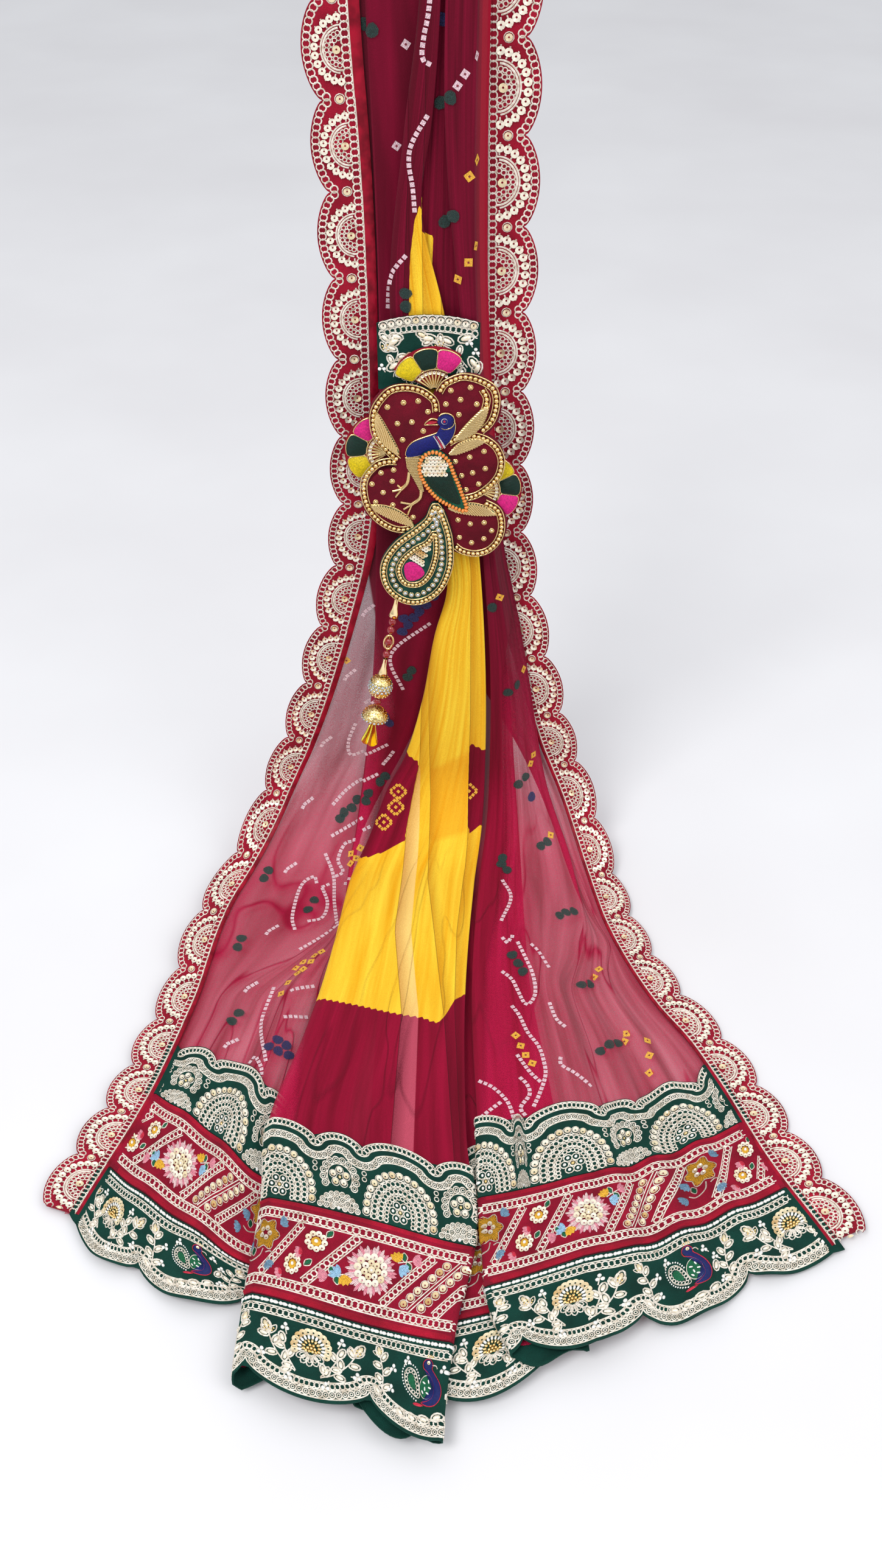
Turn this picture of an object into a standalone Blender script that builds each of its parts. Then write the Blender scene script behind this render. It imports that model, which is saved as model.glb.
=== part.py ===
"""Odhni hung from its top edge, pleated together by a brooch and fanned out over the floor.

Metres, +Z up, the top edge's centre at the origin, the wall behind at +Y. Every line on the cloth is
given on the cloth itself: `across` it, and `run` down it from the top edge. Tables are in centimetres.
"""
import math

import bmesh
import bpy
import numpy as np

CM = 0.01
MM = 0.001

# The path of the cloth: down the wall, around a bend and out over the floor
DROP = 66 * CM
BEND = 8 * CM
BACK = 1 * MM
BEND_STEPS = 5
BEND_STEP = math.pi / 2 / BEND_STEPS
WALL_RUN = DROP - BACK - BEND
FLOOR_RUN = WALL_RUN + BEND * math.pi / 2
CENTRE = -1.2 * CM

# Thicknesses and the gap between pieces that lie on each other
CLOTH = 1.0 * MM
BAND = 1.0 * MM
GAP = 0.3 * MM
BAND_LIFT = CLOTH / 2 + GAP + BAND / 2
EDGE = 1 * MM

# Heights between the nine layers of the bundle, in millimetres, at the neck and on the floor
NECK_GAPS = (3.0, 3.0, 3.0, 3.0, 2.4, 2.4, 2.4, 2.4)
FLOOR_GAPS = (0, 0, 0, 0, 4.6, 2.2, 4.6, 2.2)
UNROLLING = (66, 76)
OPENING = (74, 81)
THINNING = (74, 82)

LEAST_SWEEP = math.radians(25)
LEAST_STRIP = 1.5 * MM

# Fold lines as (run, across), from the left lace to the right one
LEFT_SEAM = [(0, -4.5), (8, -4.3), (14, -4.0), (28, -3.9), (39, -4.3), (46.1, -6.0), (54.6, -8.6),
             (62.9, -11.8), (71, -15.0), (81.3, -17.0), (89.7, -19.0), (97.1, -21.6), (101, -22.9)]
RIGHT_SEAM = [(0, 2.1), (23, 2.5), (33, 2.7), (40, 3.1), (47.3, 4.6), (51.3, 5.7), (57.3, 7.4),
              (63, 9.5), (68.4, 11.0), (73.5, 12.0), (77.4, 13.2), (81.4, 14.9), (84.3, 16.6),
              (87.7, 18.1), (94.5, 20.6), (100.3, 23.3), (103, 24.4)]
FOLDS = {
    "left_seam": LEFT_SEAM,
    "hidden_left": [(0, 1.0), (25, 1.2), (40, 1.6), (50, 0.0), (58, -3.0), (66, -6.3), (73, -7.1), (80, -7.8)],
    "shown_left": [(0, -4.2), (25, -3.8), (40, -4.4), (47.4, -4.7), (58.2, -5.7), (64.9, -6.5), (80, -8)],
    "under_middle": [(0, 1.3), (23, 1.5), (33, 2.2), (40, 2.8), (50, 2.0), (60, -0.5), (70, -2.5),
                     (80, -4.2), (90, -6.0), (108, -6.6), (114, -6.7)],
    "middle_left": [(0, -1.0), (5.9, -1.2), (12.6, -2.1), (23.1, -3.1), (33, -1.6), (43.1, 0.3),
                    (45.9, -0.4), (52, -1.4), (56.8, -2.6), (60.8, -4.1), (65.4, -5.4), (68.8, -6.4),
                    (76.6, -7.6), (85.3, -9.4), (91.8, -11.0), (97.9, -10.8), (104.1, -11.2), (113, -11.5)],
    "middle_right": [(0, 0.15), (5.9, 0.0), (12.1, -0.5), (16.2, -1.1), (22.9, 0.2), (33, 1.8),
                     (40.2, 2.6), (50.1, 3.2), (56.5, 3.3), (62.8, 3.2), (70.5, 2.5), (80.9, 1.7),
                     (92.6, 1.6), (101, 1.9), (105.9, 0.8), (111, 0.1), (114, -0.1)],
    "far_under": [(0, -0.4), (12.6, -1.5), (16.2, -1.75), (23.1, -2.3), (33, -0.9), (43.1, 1.0),
                  (52, -0.6), (60.8, -2.6), (70, -4.0), (80, -4.3), (90, -4.5), (114, -5.0)],
    "under_right": [(0, 1.6), (23, 1.8), (33, 2.6), (40, 3.3), (45, 4.1), (51, 4.9), (57, 5.4),
                    (65.6, 5.9), (80, 6.2), (90, 7.2), (108, 8.4)],
    "right_left": [(0, 0.4), (12, 0.2), (15.7, 0.4), (20.8, 0.9), (33, 2.1), (40, 2.8), (50, 3.5),
                   (56.5, 3.6), (62.8, 3.5), (70.5, 2.8), (80.9, 2.1), (92.6, 2.3), (100.9, 2.5),
                   (105.2, 2.9), (108.5, 4.2), (112, 5.0)],
    "shown_right": [(0, 2.7), (23, 2.9), (33, 3.6), (40.1, 4.3), (45.4, 5.4), (51.1, 6.4), (54.9, 7.0),
                    (61, 8.1), (66.4, 9.7), (71.7, 10.7), (78.8, 11.9)],
    "hidden_right": [(0, -3.4), (25, -3.2), (40, -2.0), (50, 2.0), (58, 6.0), (66.4, 9.2), (71.7, 10.3),
                     (78.8, 11.5)],
    "right_seam": RIGHT_SEAM,
}

# Lines across the border as (station, run). A station counts the stretches between folds, 0 to 7:
# left part, return, middle, return, under part, return, right part
BORDER_TOP = [(0, 85.4), (0.22, 86.5), (0.49, 88.4), (0.7, 90.4), (1, 91.6), (2, 92.9), (2.24, 93.7),
              (2.49, 94.6), (2.84, 95.9), (3, 96.2), (4, 95.8), (5, 93.2), (6, 92.8), (6.19, 92.2),
              (6.47, 90.9), (6.84, 89.0), (7, 87.4)]
UPPER_SEAM = [(0, 89.0), (0.22, 90.8), (0.45, 92.9), (0.58, 94.6), (1, 96.4), (2, 97.9), (2.5, 99.5),
              (3, 101.2), (4, 101.0), (5, 98.4), (6, 97.8), (6.16, 97.1), (6.51, 94.8), (6.74, 93.3),
              (7, 91.2)]
LOWER_SEAM = [(0, 94.8), (0.19, 96.7), (0.42, 98.8), (0.6, 100.8), (1, 102.8), (2, 104.3), (2.6, 106.4),
              (3, 107.3), (4, 107.0), (4.5, 105.4), (5, 104.0), (6, 103.8), (6.2, 102.5), (6.36, 101.3),
              (6.7, 98.6), (7, 96.2)]
HEM = [(0, 98.2), (0.34, 102.0), (0.72, 103.8), (1, 105.4), (2, 108.4), (2.65, 110.5), (3, 111.8),
       (4, 110.0), (4.5, 109.2), (5, 106.6), (6, 107.2), (6.37, 105.5), (6.72, 102.3), (7, 99.6)]

# Raised folds of the single layer on the floor: station, height in mm, half width in stations, and the
# runs between which it rises
RIDGES = [
    (0.52, 8, 0.11, (74, 81)),
    (0.22, 5, 0.09, (75, 81)),
    (6.58, 6, 0.06, (73, 81)),
    (6.42, 5, 0.06, (75, 81)),
    (6.77, 5, 0.06, (76, 81)),
]

# Notches between the scallops, in cm along the border's upper seam; at the top wide and narrow ones in turn
TOP_NOTCHES = [-4.8, 0.2, 3.3, 8.3, 11.2, 16.2, 19.0, 23.6, 26.6, 31.2, 34.0, 38.8, 41.6, 46.4, 49.2, 54.0,
               57.6, 61.4, 62.3, 67.9, 70.9, 76.5, 79.5]
HEM_NOTCHES = [-0.6, 4.1, 10.6, 15.8, 20.9, 28.9, 35.2, 40.0, 44.6, 51.4, 60.2, 67.5, 73.3, 80.2]
FULL_SCALLOP = 5 * CM
TOP_DEPTH = 1.0 * CM
HEM_DEPTH = 1.3 * CM

# Width, reach and spacing of the laces' scallops
LACE_WIDTH = [(0, 3.3), (40, 3.2), (54, 2.85), (66, 2.55), (80, 2.7), (90, 3.0), (112, 3.0)]
LACE_NOTCH = 0.72
SCALLOP_STEPS = 6
LEFT_SCALLOPS = [(0, -2.2), (11.1, 0), (36.7, 5), (61.9, 10), (83.1, 14), (98.3, 18)]
RIGHT_SCALLOPS = [(0, -1.6), (8.2, 0), (34.1, 5), (59.6, 10), (77.2, 14), (100.4, 20)]


def clear_scene():
    for item in list(bpy.data.objects):
        bpy.data.objects.remove(item, do_unlink=True)


def material(name, colour, roughness, metallic=0.0):
    made = bpy.data.materials.new(name)
    made.use_nodes = True
    shader = made.node_tree.nodes["Principled BSDF"]
    shader.inputs["Base Color"].default_value = (*colour, 1.0)
    shader.inputs["Roughness"].default_value = roughness
    shader.inputs["Metallic"].default_value = metallic
    return made


def follow(table, where):
    """Smooth value of a centimetre table at each place, both in metres."""
    knots = np.array(table, float)
    x, y = knots[:, 0], knots[:, 1]
    slope = np.gradient(y, x)
    u = np.clip(np.asarray(where, float) / CM, x[0], x[-1])
    i = np.clip(np.searchsorted(x, u) - 1, 0, len(x) - 2)
    width = x[i + 1] - x[i]
    t = (u - x[i]) / width
    start = (2 * t + 1) * (t - 1) ** 2 * y[i] + t * (t - 1) ** 2 * width * slope[i]
    end = t * t * (3 - 2 * t) * y[i + 1] + t * t * (t - 1) * width * slope[i + 1]
    return (start + end) * CM


def ease(value, low, high):
    t = np.clip((value - low) / (high - low), 0, 1)
    return t * t * (3 - 2 * t)


def on_path(across, run, lift):
    """World points: down the wall, around a bend of flat steps and out over the floor, lifted off them."""
    place = np.clip((run - WALL_RUN) / BEND, 0, math.pi / 2) / BEND_STEP
    before = np.minimum(np.floor(place), BEND_STEPS - 1)
    share = place - before
    first, second = before * BEND_STEP, (before + 1) * BEND_STEP
    cosine = np.cos(first) * (1 - share) + np.cos(second) * share
    sine = np.sin(first) * (1 - share) + np.sin(second) * share
    out = np.clip(run - FLOOR_RUN, 0, None)
    forward = BACK + BEND * (1 - cosine) + out + lift * cosine
    height = -np.minimum(run, WALL_RUN) - BEND * sine + lift * sine
    return np.stack(np.broadcast_arrays(across - CENTRE, -forward, height), -1)


def relief(across, run):
    """Soft waves that all layers share."""
    wave = follow([(0, 9), (60, 10), (80, 16), (112, 16)], run)
    return MM * (1 + np.sin(2 * math.pi * across / wave + run / (25 * CM)))


def ridge(station, run):
    """The raised folds of the single layer on the floor."""
    lift = 0
    for place, height, half_width, rise in RIDGES:
        off = (station - place) / half_width
        lift = lift + height * MM * ease(run, rise[0] * CM, rise[1] * CM) * np.exp(-off * off)
    return lift


def section(run):
    """The cloth's back-and-forth section at each run: stations, and across and height of its columns."""
    run = np.atleast_1d(np.asarray(run, float))
    opened = ease(run, OPENING[0] * CM, OPENING[1] * CM)
    thinned = ease(run, THINNING[0] * CM, THINNING[1] * CM)
    gaps = np.outer(np.array(NECK_GAPS), 1 - thinned) + np.outer(np.array(FLOOR_GAPS), thinned)
    level = np.vstack([np.zeros_like(run), np.cumsum(gaps, axis=0)]) * MM
    fold = {name: follow(table, run) for name, table in FOLDS.items()}
    columns, stations = [], []

    def add(across, height, station):
        columns.append((across, height))
        stations.append(station)

    def straight(end, height, steps, stations_end):
        start, low = columns[-1]
        first = stations[-1]
        for k in range(1, steps + 1):
            t = k / steps
            add(start + (end - start) * t, low + (height - low) * t, first + (stations_end - first) * t)

    def turn(name, side, low, high):
        radius = np.abs(level[high] - level[low]) / 2
        middle = (level[high] + level[low]) / 2
        for angle in (-30, 30, 90):
            bulge = radius * (math.cos(math.radians(angle)) - 1)
            rise = (level[high] - level[low]) / 2 * math.sin(math.radians(angle))
            add(fold[name] + side * bulge, middle + rise, stations[-1])

    def near(name, side, low, high):
        return fold[name] - side * np.abs(level[high] - level[low]) / 2

    def hidden_pleat(right, left, low, high, steps, station):
        """A pleat that unrolls further down: two arcs and the strip between them, from low to high."""
        sweep = math.pi - (math.pi - LEAST_SWEEP) * ease(run, UNROLLING[0] * CM, UNROLLING[1] * CM)
        rise = level[high] - level[low]
        strip = np.maximum(fold[right] - fold[left] - np.abs(rise) / 2, LEAST_STRIP)
        up = np.sign(rise) * strip * np.sin(sweep)
        radius = (np.abs(rise) - np.abs(up)) / (2 * (1 - np.cos(sweep)))
        half = radius * np.sin(sweep) + strip * np.cos(sweep) / 2
        start = (fold[right] + fold[left]) / 2 - half
        straight(start, level[low], steps, station)
        sign = np.sign(rise)
        for part in (1 / 3, 2 / 3, 1):
            angle = sweep * part
            add(start + radius * np.sin(angle), level[low] + sign * radius * (1 - np.cos(angle)), station)
        mid = level[low] + rise / 2
        add(start + half, mid, station)
        for part in (1, 2 / 3, 1 / 3, 0):
            angle = sweep * part
            end_height = level[high] - sign * radius * (1 - np.cos(angle))
            add(start + 2 * half - radius * np.sin(angle), end_height, station)

    # left lace's seam, over to the hidden fold, back to the shown one, and under the middle
    add(fold["left_seam"] - 1.0 * CM, level[2], 0)
    straight(fold["left_seam"] + 0.15 * CM, level[2], 1, 0)
    hidden_pleat("hidden_left", "shown_left", 2, 4, 3, 0.5)
    straight(near("under_middle", 1, 4, 5), level[4], 4, 1)
    left_end = len(columns) - 1
    turn("under_middle", 1, 4, 5)
    straight(near("middle_left", -1, 5, 8), level[5], 2, 2)
    turn("middle_left", -1, 5, 8)
    straight(near("middle_right", 1, 8, 7), level[8], 8, 3)
    turn("middle_right", 1, 8, 7)
    straight(near("far_under", -1, 7, 6), level[7], 2, 4)
    turn("far_under", -1, 7, 6)
    straight(near("under_right", 1, 6, 7), level[6], 5, 5)
    turn("under_right", 1, 6, 7)
    straight(near("right_left", -1, 7, 8), level[7], 2, 6)
    turn("right_left", -1, 7, 8)
    # the right part drops off the bundle's side to its shown fold, goes back under and out to the lace
    straight(fold["under_right"] + 0.3 * CM, level[8], 3, 6.27)
    right_start = len(columns) - 1
    hidden_pleat("shown_right", "hidden_right", 2, 0, 4, 6.6)
    straight(fold["right_seam"] - 0.15 * CM, level[0], 4, 7)
    straight(fold["right_seam"] + 1.0 * CM, level[0], 1, 7)

    across = np.array([column[0] for column in columns])
    height = np.array([column[1] for column in columns])
    station = np.array(stations)
    open_evenly(across, height, station, 1, left_end, opened)
    open_evenly(across, height, station, right_start, len(columns) - 2, opened)
    drop = 1 - ease(across[right_start:] - across[right_start], 0, 4 * CM)
    height[right_start:] += (level[8] * drop - height[right_start:]) * opened
    return station, across, height


def open_evenly(across, height, station, first, last, opened):
    """Where a hidden pleat has opened, its columns lie evenly between the first and the last."""
    share = np.linspace(0, 1, last - first + 1)
    even = across[first] + np.outer(share, across[last] - across[first])
    across[first:last + 1] += (even - across[first:last + 1]) * opened
    station[first:last + 1] = station[first] + share * (station[last] - station[first])


def cloth_grid(runs):
    """World points of the cloth's middle surface, one row for each row of runs."""
    rows = []
    for run in runs:
        station, across, height = section(run)
        if np.size(run) == 1:
            across, height = across[:, 0], height[:, 0]
        else:
            across, height = np.diagonal(across), np.diagonal(height)
        rows.append(on_path(across, run, height + relief(across, run) + ridge(station, run)))
    return np.array([np.broadcast_to(row, rows[0].shape) for row in rows])


def normals(grid):
    """Unit normals of a grid of points, on the side that faces out of the wall at the left lace."""
    down = np.gradient(grid, axis=0)
    along = np.gradient(grid, axis=1)
    normal = np.cross(down, along)
    return normal / np.linalg.norm(normal, axis=-1, keepdims=True)


def add_mesh(name, points, faces, look):
    mesh = bpy.data.meshes.new(name)
    mesh.from_pydata([tuple(map(float, point)) for point in points], [], faces)
    solid = bmesh.new()
    solid.from_mesh(mesh)
    bmesh.ops.recalc_face_normals(solid, faces=solid.faces)
    solid.to_mesh(mesh)
    solid.free()
    mesh.materials.append(look)
    made = bpy.data.objects.new(name, mesh)
    bpy.context.collection.objects.link(made)
    return made


def sheet(name, grid, thickness, look):
    """A closed solid of even thickness about a grid of points."""
    half = normals(grid) * thickness / 2
    return between(name, grid + half, grid - half, look)


def between(name, front, reverse, look):
    """A closed solid between two grids of points, closed around its rim."""
    rows, columns = front.shape[:2]
    points = np.concatenate([front.reshape(-1, 3), reverse.reshape(-1, 3)])
    back = rows * columns
    faces = []
    for r in range(rows - 1):
        for c in range(columns - 1):
            a, b = r * columns + c, r * columns + c + 1
            d, e = a + columns, b + columns
            faces.append((a, d, e, b))
            faces.append((back + a, back + b, back + e, back + d))
    rim = [c for c in range(columns - 1)]
    rim += [r * columns + columns - 1 for r in range(rows - 1)]
    rim += [(rows - 1) * columns + c for c in range(columns - 1, 0, -1)]
    rim += [r * columns for r in range(rows - 1, 0, -1)]
    for a, b in zip(rim, rim[1:] + rim[:1]):
        faces.append((a, b, back + b, back + a))
    return add_mesh(name, points, faces, look)


def border_run(table, station):
    return follow([(s, r) for s, r in table], station * CM)


def scallop(notches, distance, depth):
    """Reach of the scallops between notches at a distance along the border."""
    edges = np.array(notches) * CM
    i = np.clip(np.searchsorted(edges, distance) - 1, 0, len(edges) - 2)
    width = edges[i + 1] - edges[i]
    share = np.clip((distance - edges[i]) / width, 0, 1)
    return depth * np.sqrt(np.minimum(width / FULL_SCALLOP, 1)) * np.sin(math.pi * share) ** 0.6


def border_distance(station):
    """Distance along the border's upper seam from the left lace, for each column."""
    seam = cloth_grid([border_run(UPPER_SEAM, station)])[0]
    steps = np.linalg.norm(np.diff(seam, axis=0), axis=1)
    return np.concatenate([[0], np.cumsum(steps)]) - steps[0]


def ground_rows():
    """Runs of the ground cloth's rows, one for each column."""
    station = section(0)[0]
    count = len(station)
    hem = border_run(HEM, station) - EDGE
    top = border_run(BORDER_TOP, station)
    upper, lower = border_run(UPPER_SEAM, station), border_run(LOWER_SEAM, station)
    runs = [run * CM for run in (0, 8, 16, 23, 30, 37, 44, 51)]
    runs += [WALL_RUN + BEND * BEND_STEP * k for k in range(BEND_STEPS + 1)]
    runs += [run * CM for run in (73, 75.5, 78, 81)]
    runs = [np.full(count, run) for run in runs]
    runs += [(81 * CM + top) / 2, top, (top + upper) / 2, upper, (upper + lower) / 2, lower, (lower + hem) / 2, hem]
    return np.array(runs)


def on_cloth(grid, rows, run):
    """Points at each column's run, on the straight faces between a grid's rows."""
    place = np.clip(np.sum(rows <= run, axis=0) - 1, 0, len(rows) - 2)
    column = np.arange(len(run))
    low, high = rows[place, column], rows[place + 1, column]
    share = ((run - low) / (high - low))[:, None]
    return grid[place, column] * (1 - share) + grid[place + 1, column] * share


def border_band(name, cloth, runs, look):
    """One band of the border along given rows, on the face of the cloth and between the laces."""
    rows, face, normal = cloth
    lift = CLOTH / 2 + GAP
    reverse = np.array([on_cloth(face + normal * lift, rows, run) for run in runs])
    front = np.array([on_cloth(face + normal * (lift + BAND), rows, run) for run in runs])
    return between(name, front[:, 1:-1], reverse[:, 1:-1], look)


def border_bands(cloth, green, maroon):
    station = section(0)[0]
    distance = border_distance(station)
    top, upper = border_run(BORDER_TOP, station), border_run(UPPER_SEAM, station)
    lower, hem = border_run(LOWER_SEAM, station), border_run(HEM, station)
    crest = top - EDGE - scallop(TOP_NOTCHES, distance, TOP_DEPTH)
    border_band("border_top", cloth, (crest, top, (top + upper) / 2, upper - GAP), green)
    border_band("border_middle", cloth, (upper + GAP, (upper + lower) / 2, lower - GAP), maroon)
    reach = hem + scallop(HEM_NOTCHES, distance, HEM_DEPTH)
    border_band("border_hem", cloth, (lower + GAP, (lower + hem - EDGE) / 2, hem - EDGE, reach), green)


def lace(name, side, seam, scallops, end, base, look):
    """A scalloped lace along one long edge, its inner part over the cloth's edge."""
    fine = np.linspace(0, end * CM, 2000)
    count = follow(scallops, fine) / CM
    steps = np.arange(math.ceil(count[0] * SCALLOP_STEPS), math.floor(count[-1] * SCALLOP_STEPS) + 1)
    runs = np.concatenate([[0], np.interp(steps / SCALLOP_STEPS, count, fine)])
    phase = np.concatenate([[count[0]], steps / SCALLOP_STEPS]) % 1
    slope = (follow(seam, runs + MM) - follow(seam, runs - MM)) / (2 * MM)
    length = np.sqrt(1 + slope ** 2)
    width = follow(LACE_WIDTH, runs)
    reach = LACE_NOTCH + (1 - LACE_NOTCH) * np.sin(math.pi * phase) ** 0.6
    grid = []
    for share in (0, 0.45, 1):
        out = width * share * (reach if share == 1 else 1)
        across = follow(seam, runs) + side * out / length
        run = np.maximum(runs - side * out * slope / length, 0)
        thinned = ease(run, THINNING[0] * CM, THINNING[1] * CM)
        height = base * (1 - thinned) + relief(across, run) + BAND_LIFT
        grid.append(on_path(across, run, height))
    grid = np.array(grid if side > 0 else grid[::-1]).transpose(1, 0, 2)
    return sheet(name, grid, BAND, look)


def flat_point(across, run, lift):
    return (across * CM - CENTRE, -(BACK + lift * MM), -run * CM)


def plate(name, outline, back, thickness, rise, look):
    """A padded flat piece: its outline in cm on the wall's plane, its heights off it in mm."""
    centre = np.mean(np.array(outline), axis=0)
    rings = [(1.0, 0), (1.0, thickness - rise), (0.86, thickness)]
    points = []
    for scale, lift in rings:
        for across, run in outline:
            x = centre[0] + (across - centre[0]) * scale
            y = centre[1] + (run - centre[1]) * scale
            points.append(flat_point(x, y, back + lift))
    count = len(outline)
    faces = [tuple(range(count - 1, -1, -1)), tuple(range(2 * count, 3 * count))]
    for ring in range(2):
        for k in range(count):
            a, b = ring * count + k, ring * count + (k + 1) % count
            faces.append((a, b, b + count, a + count))
    return add_mesh(name, points, faces, look)


def round_outline(centre, circles, steps):
    """The outer outline of overlapping circles, seen from a centre inside them."""
    outline = []
    for k in range(steps):
        angle = 2 * math.pi * k / steps
        ray = (math.cos(angle), math.sin(angle))
        reach = 0
        for across, run, radius in circles:
            dx, dy = across - centre[0], run - centre[1]
            nearest = dx * ray[0] + dy * ray[1]
            room = radius ** 2 - (dx * dx + dy * dy - nearest ** 2)
            if room > 0:
                reach = max(reach, nearest + math.sqrt(room))
        outline.append((centre[0] + ray[0] * reach, centre[1] + ray[1] * reach))
    return outline


def drop_outline(bulb, radius, tip, steps):
    """A drop: the part of a circle turned away from the tip, closed by two straight flanks."""
    dx, dy = tip[0] - bulb[0], tip[1] - bulb[1]
    distance = math.hypot(dx, dy)
    toward = math.atan2(dy, dx)
    open_angle = math.acos(radius / distance)
    outline = [tip]
    for k in range(steps + 1):
        angle = toward + open_angle + (2 * math.pi - 2 * open_angle) * k / steps
        outline.append((bulb[0] + radius * math.cos(angle), bulb[1] + radius * math.sin(angle)))
    return outline


def leaf_outline(base, tip, width):
    """A pointed leaf between its base and its tip."""
    dx, dy = tip[0] - base[0], tip[1] - base[1]
    length = math.hypot(dx, dy)
    outline = []
    for side in (1, -1):
        for t in (0, 0.25, 0.5, 0.75):
            along = t if side > 0 else 1 - t
            off = side * width / 2 * math.sin(math.pi * along) ** 0.8
            outline.append((base[0] + dx * along - dy / length * off, base[1] + dy * along + dx / length * off))
    return outline


# The brooch, in centimetres on the cloth and millimetres off the wall
PETAL_BACK, BODY_BACK, RAISED_BACK = 26.2, 27.7, 32.5
PETAL_FANS = {
    "top": [(-0.8, 27.6, 1.2), (-2.3, 26.7, 0.95), (-0.95, 26.05, 0.95), (0.45, 26.2, 0.95)],
    "left": [(-4.1, 31.7, 1.0), (-4.65, 30.5, 0.9), (-4.95, 31.6, 0.9), (-4.8, 32.8, 0.9)],
    "right": [(3.4, 34.4, 1.0), (4.05, 33.2, 0.9), (4.45, 34.5, 0.9), (4.2, 35.8, 0.9)],
}
BODY_LOBES = [(-2.3, 29.3, 2.05), (1.55, 28.6, 2.05), (2.1, 32.2, 1.75), (2.05, 36.9, 2.15),
              (-2.85, 34.95, 2.1), (-0.9, 38.0, 1.9), (-0.4, 32.5, 2.6)]
LEAVES = [((-4.0, 28.8), (-2.45, 32.2), 1.2), ((2.85, 28.7), (0.95, 30.2), 1.1), ((1.05, 31.8), (2.75, 30.8), 0.9),
          ((-4.5, 35.6), (-2.7, 36.9), 1.0), ((1.6, 36.2), (3.6, 35.5), 1.2)]
PEACOCK = [(-0.3, 29.4), (0.2, 29.0), (0.8, 29.4), (0.85, 30.1), (0.5, 30.8), (0.75, 31.9), (1.35, 33.8),
           (1.4, 35.2), (0.4, 35.0), (-0.95, 34.4), (-1.9, 33.6), (-2.3, 32.2), (-2.1, 31.3), (-1.35, 30.7),
           (-0.55, 30.4), (-0.25, 30.0)]
PAISLEY_BULB, PAISLEY_RADIUS, PAISLEY_TIP = (-1.75, 40.3), 2.25, (-0.35, 35.75)
WING_BULB, WING_RADIUS, WING_TIP = (-0.4, 32.95), 1.0, (1.45, 35.6)
STRAP_TOP, STRAP_END, STRAP_SIDES = 22.9, 27.6, (-3.85, 2.35)


def brooch(looks):
    for name, circles in PETAL_FANS.items():
        outline = round_outline(circles[0][:2], circles, 24)
        plate("brooch_petals_" + name, outline, PETAL_BACK, 1.2, 0.2, looks["silk"])
    body = round_outline((-0.4, 33.2), BODY_LOBES, 44)
    plate("brooch_body", body, BODY_BACK, 4.5, 1.5, looks["maroon_velvet"])
    for number, (base, tip, width) in enumerate(LEAVES, 1):
        plate(f"brooch_leaf_{number}", leaf_outline(base, tip, width), RAISED_BACK, 2.0, 1.2, looks["gold_thread"])
    plate("brooch_peacock", PEACOCK, RAISED_BACK, 2.2, 1.0, looks["peacock_blue"])
    paisley = drop_outline(PAISLEY_BULB, PAISLEY_RADIUS, PAISLEY_TIP, 16)
    plate("brooch_paisley", paisley, RAISED_BACK, 3.5, 1.5, looks["gold_thread"])
    wing = drop_outline(WING_BULB, WING_RADIUS, WING_TIP, 8)
    plate("brooch_wing", wing, RAISED_BACK + 2.5, 1.4, 0.6, looks["gold_thread"])


def strap(look):
    """The gathered green patch across the pleats, its top edge arched, its lower part behind the brooch."""
    left, right = STRAP_SIDES
    shares = np.linspace(0, 1, 9)
    across = (left + (right - left) * shares) * CM
    arch = (STRAP_TOP + 0.5 * (2 * shares - 1) ** 2) * CM
    grid = [on_path(across, arch + (STRAP_END * CM - arch) * t, 25.2 * MM + 0 * across) for t in (0, 0.5, 1)]
    return sheet("strap", np.array(grid), CLOTH, look)


def turned(name, along, profile, sides, look):
    """A turned bead: (distance, radius) pairs in cm about a line between two places on the cloth."""
    start = np.array(flat_point(*along[0]))
    axis = np.array(flat_point(*along[1])) - start
    axis = axis / np.linalg.norm(axis)
    first = np.cross(axis, (0, 1, 0))
    first = first / np.linalg.norm(first)
    second = np.cross(axis, first)
    points = [start + axis * profile[0][0] * CM]
    for distance, radius in profile[1:-1]:
        for k in range(sides):
            angle = 2 * math.pi * k / sides
            ring = first * math.cos(angle) + second * math.sin(angle)
            points.append(start + axis * distance * CM + ring * radius * CM)
    points.append(start + axis * profile[-1][0] * CM)
    faces, last, rings = [], len(points) - 1, len(profile) - 2
    for k in range(sides):
        after = (k + 1) % sides
        faces.append((0, 1 + after, 1 + k))
        faces.append((last, last - sides + k, last - sides + after))
        for ring in range(rings - 1):
            a, b = 1 + ring * sides + k, 1 + ring * sides + after
            faces.append((a, b, b + sides, a + sides))
    return add_mesh(name, points, faces, look)


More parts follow.
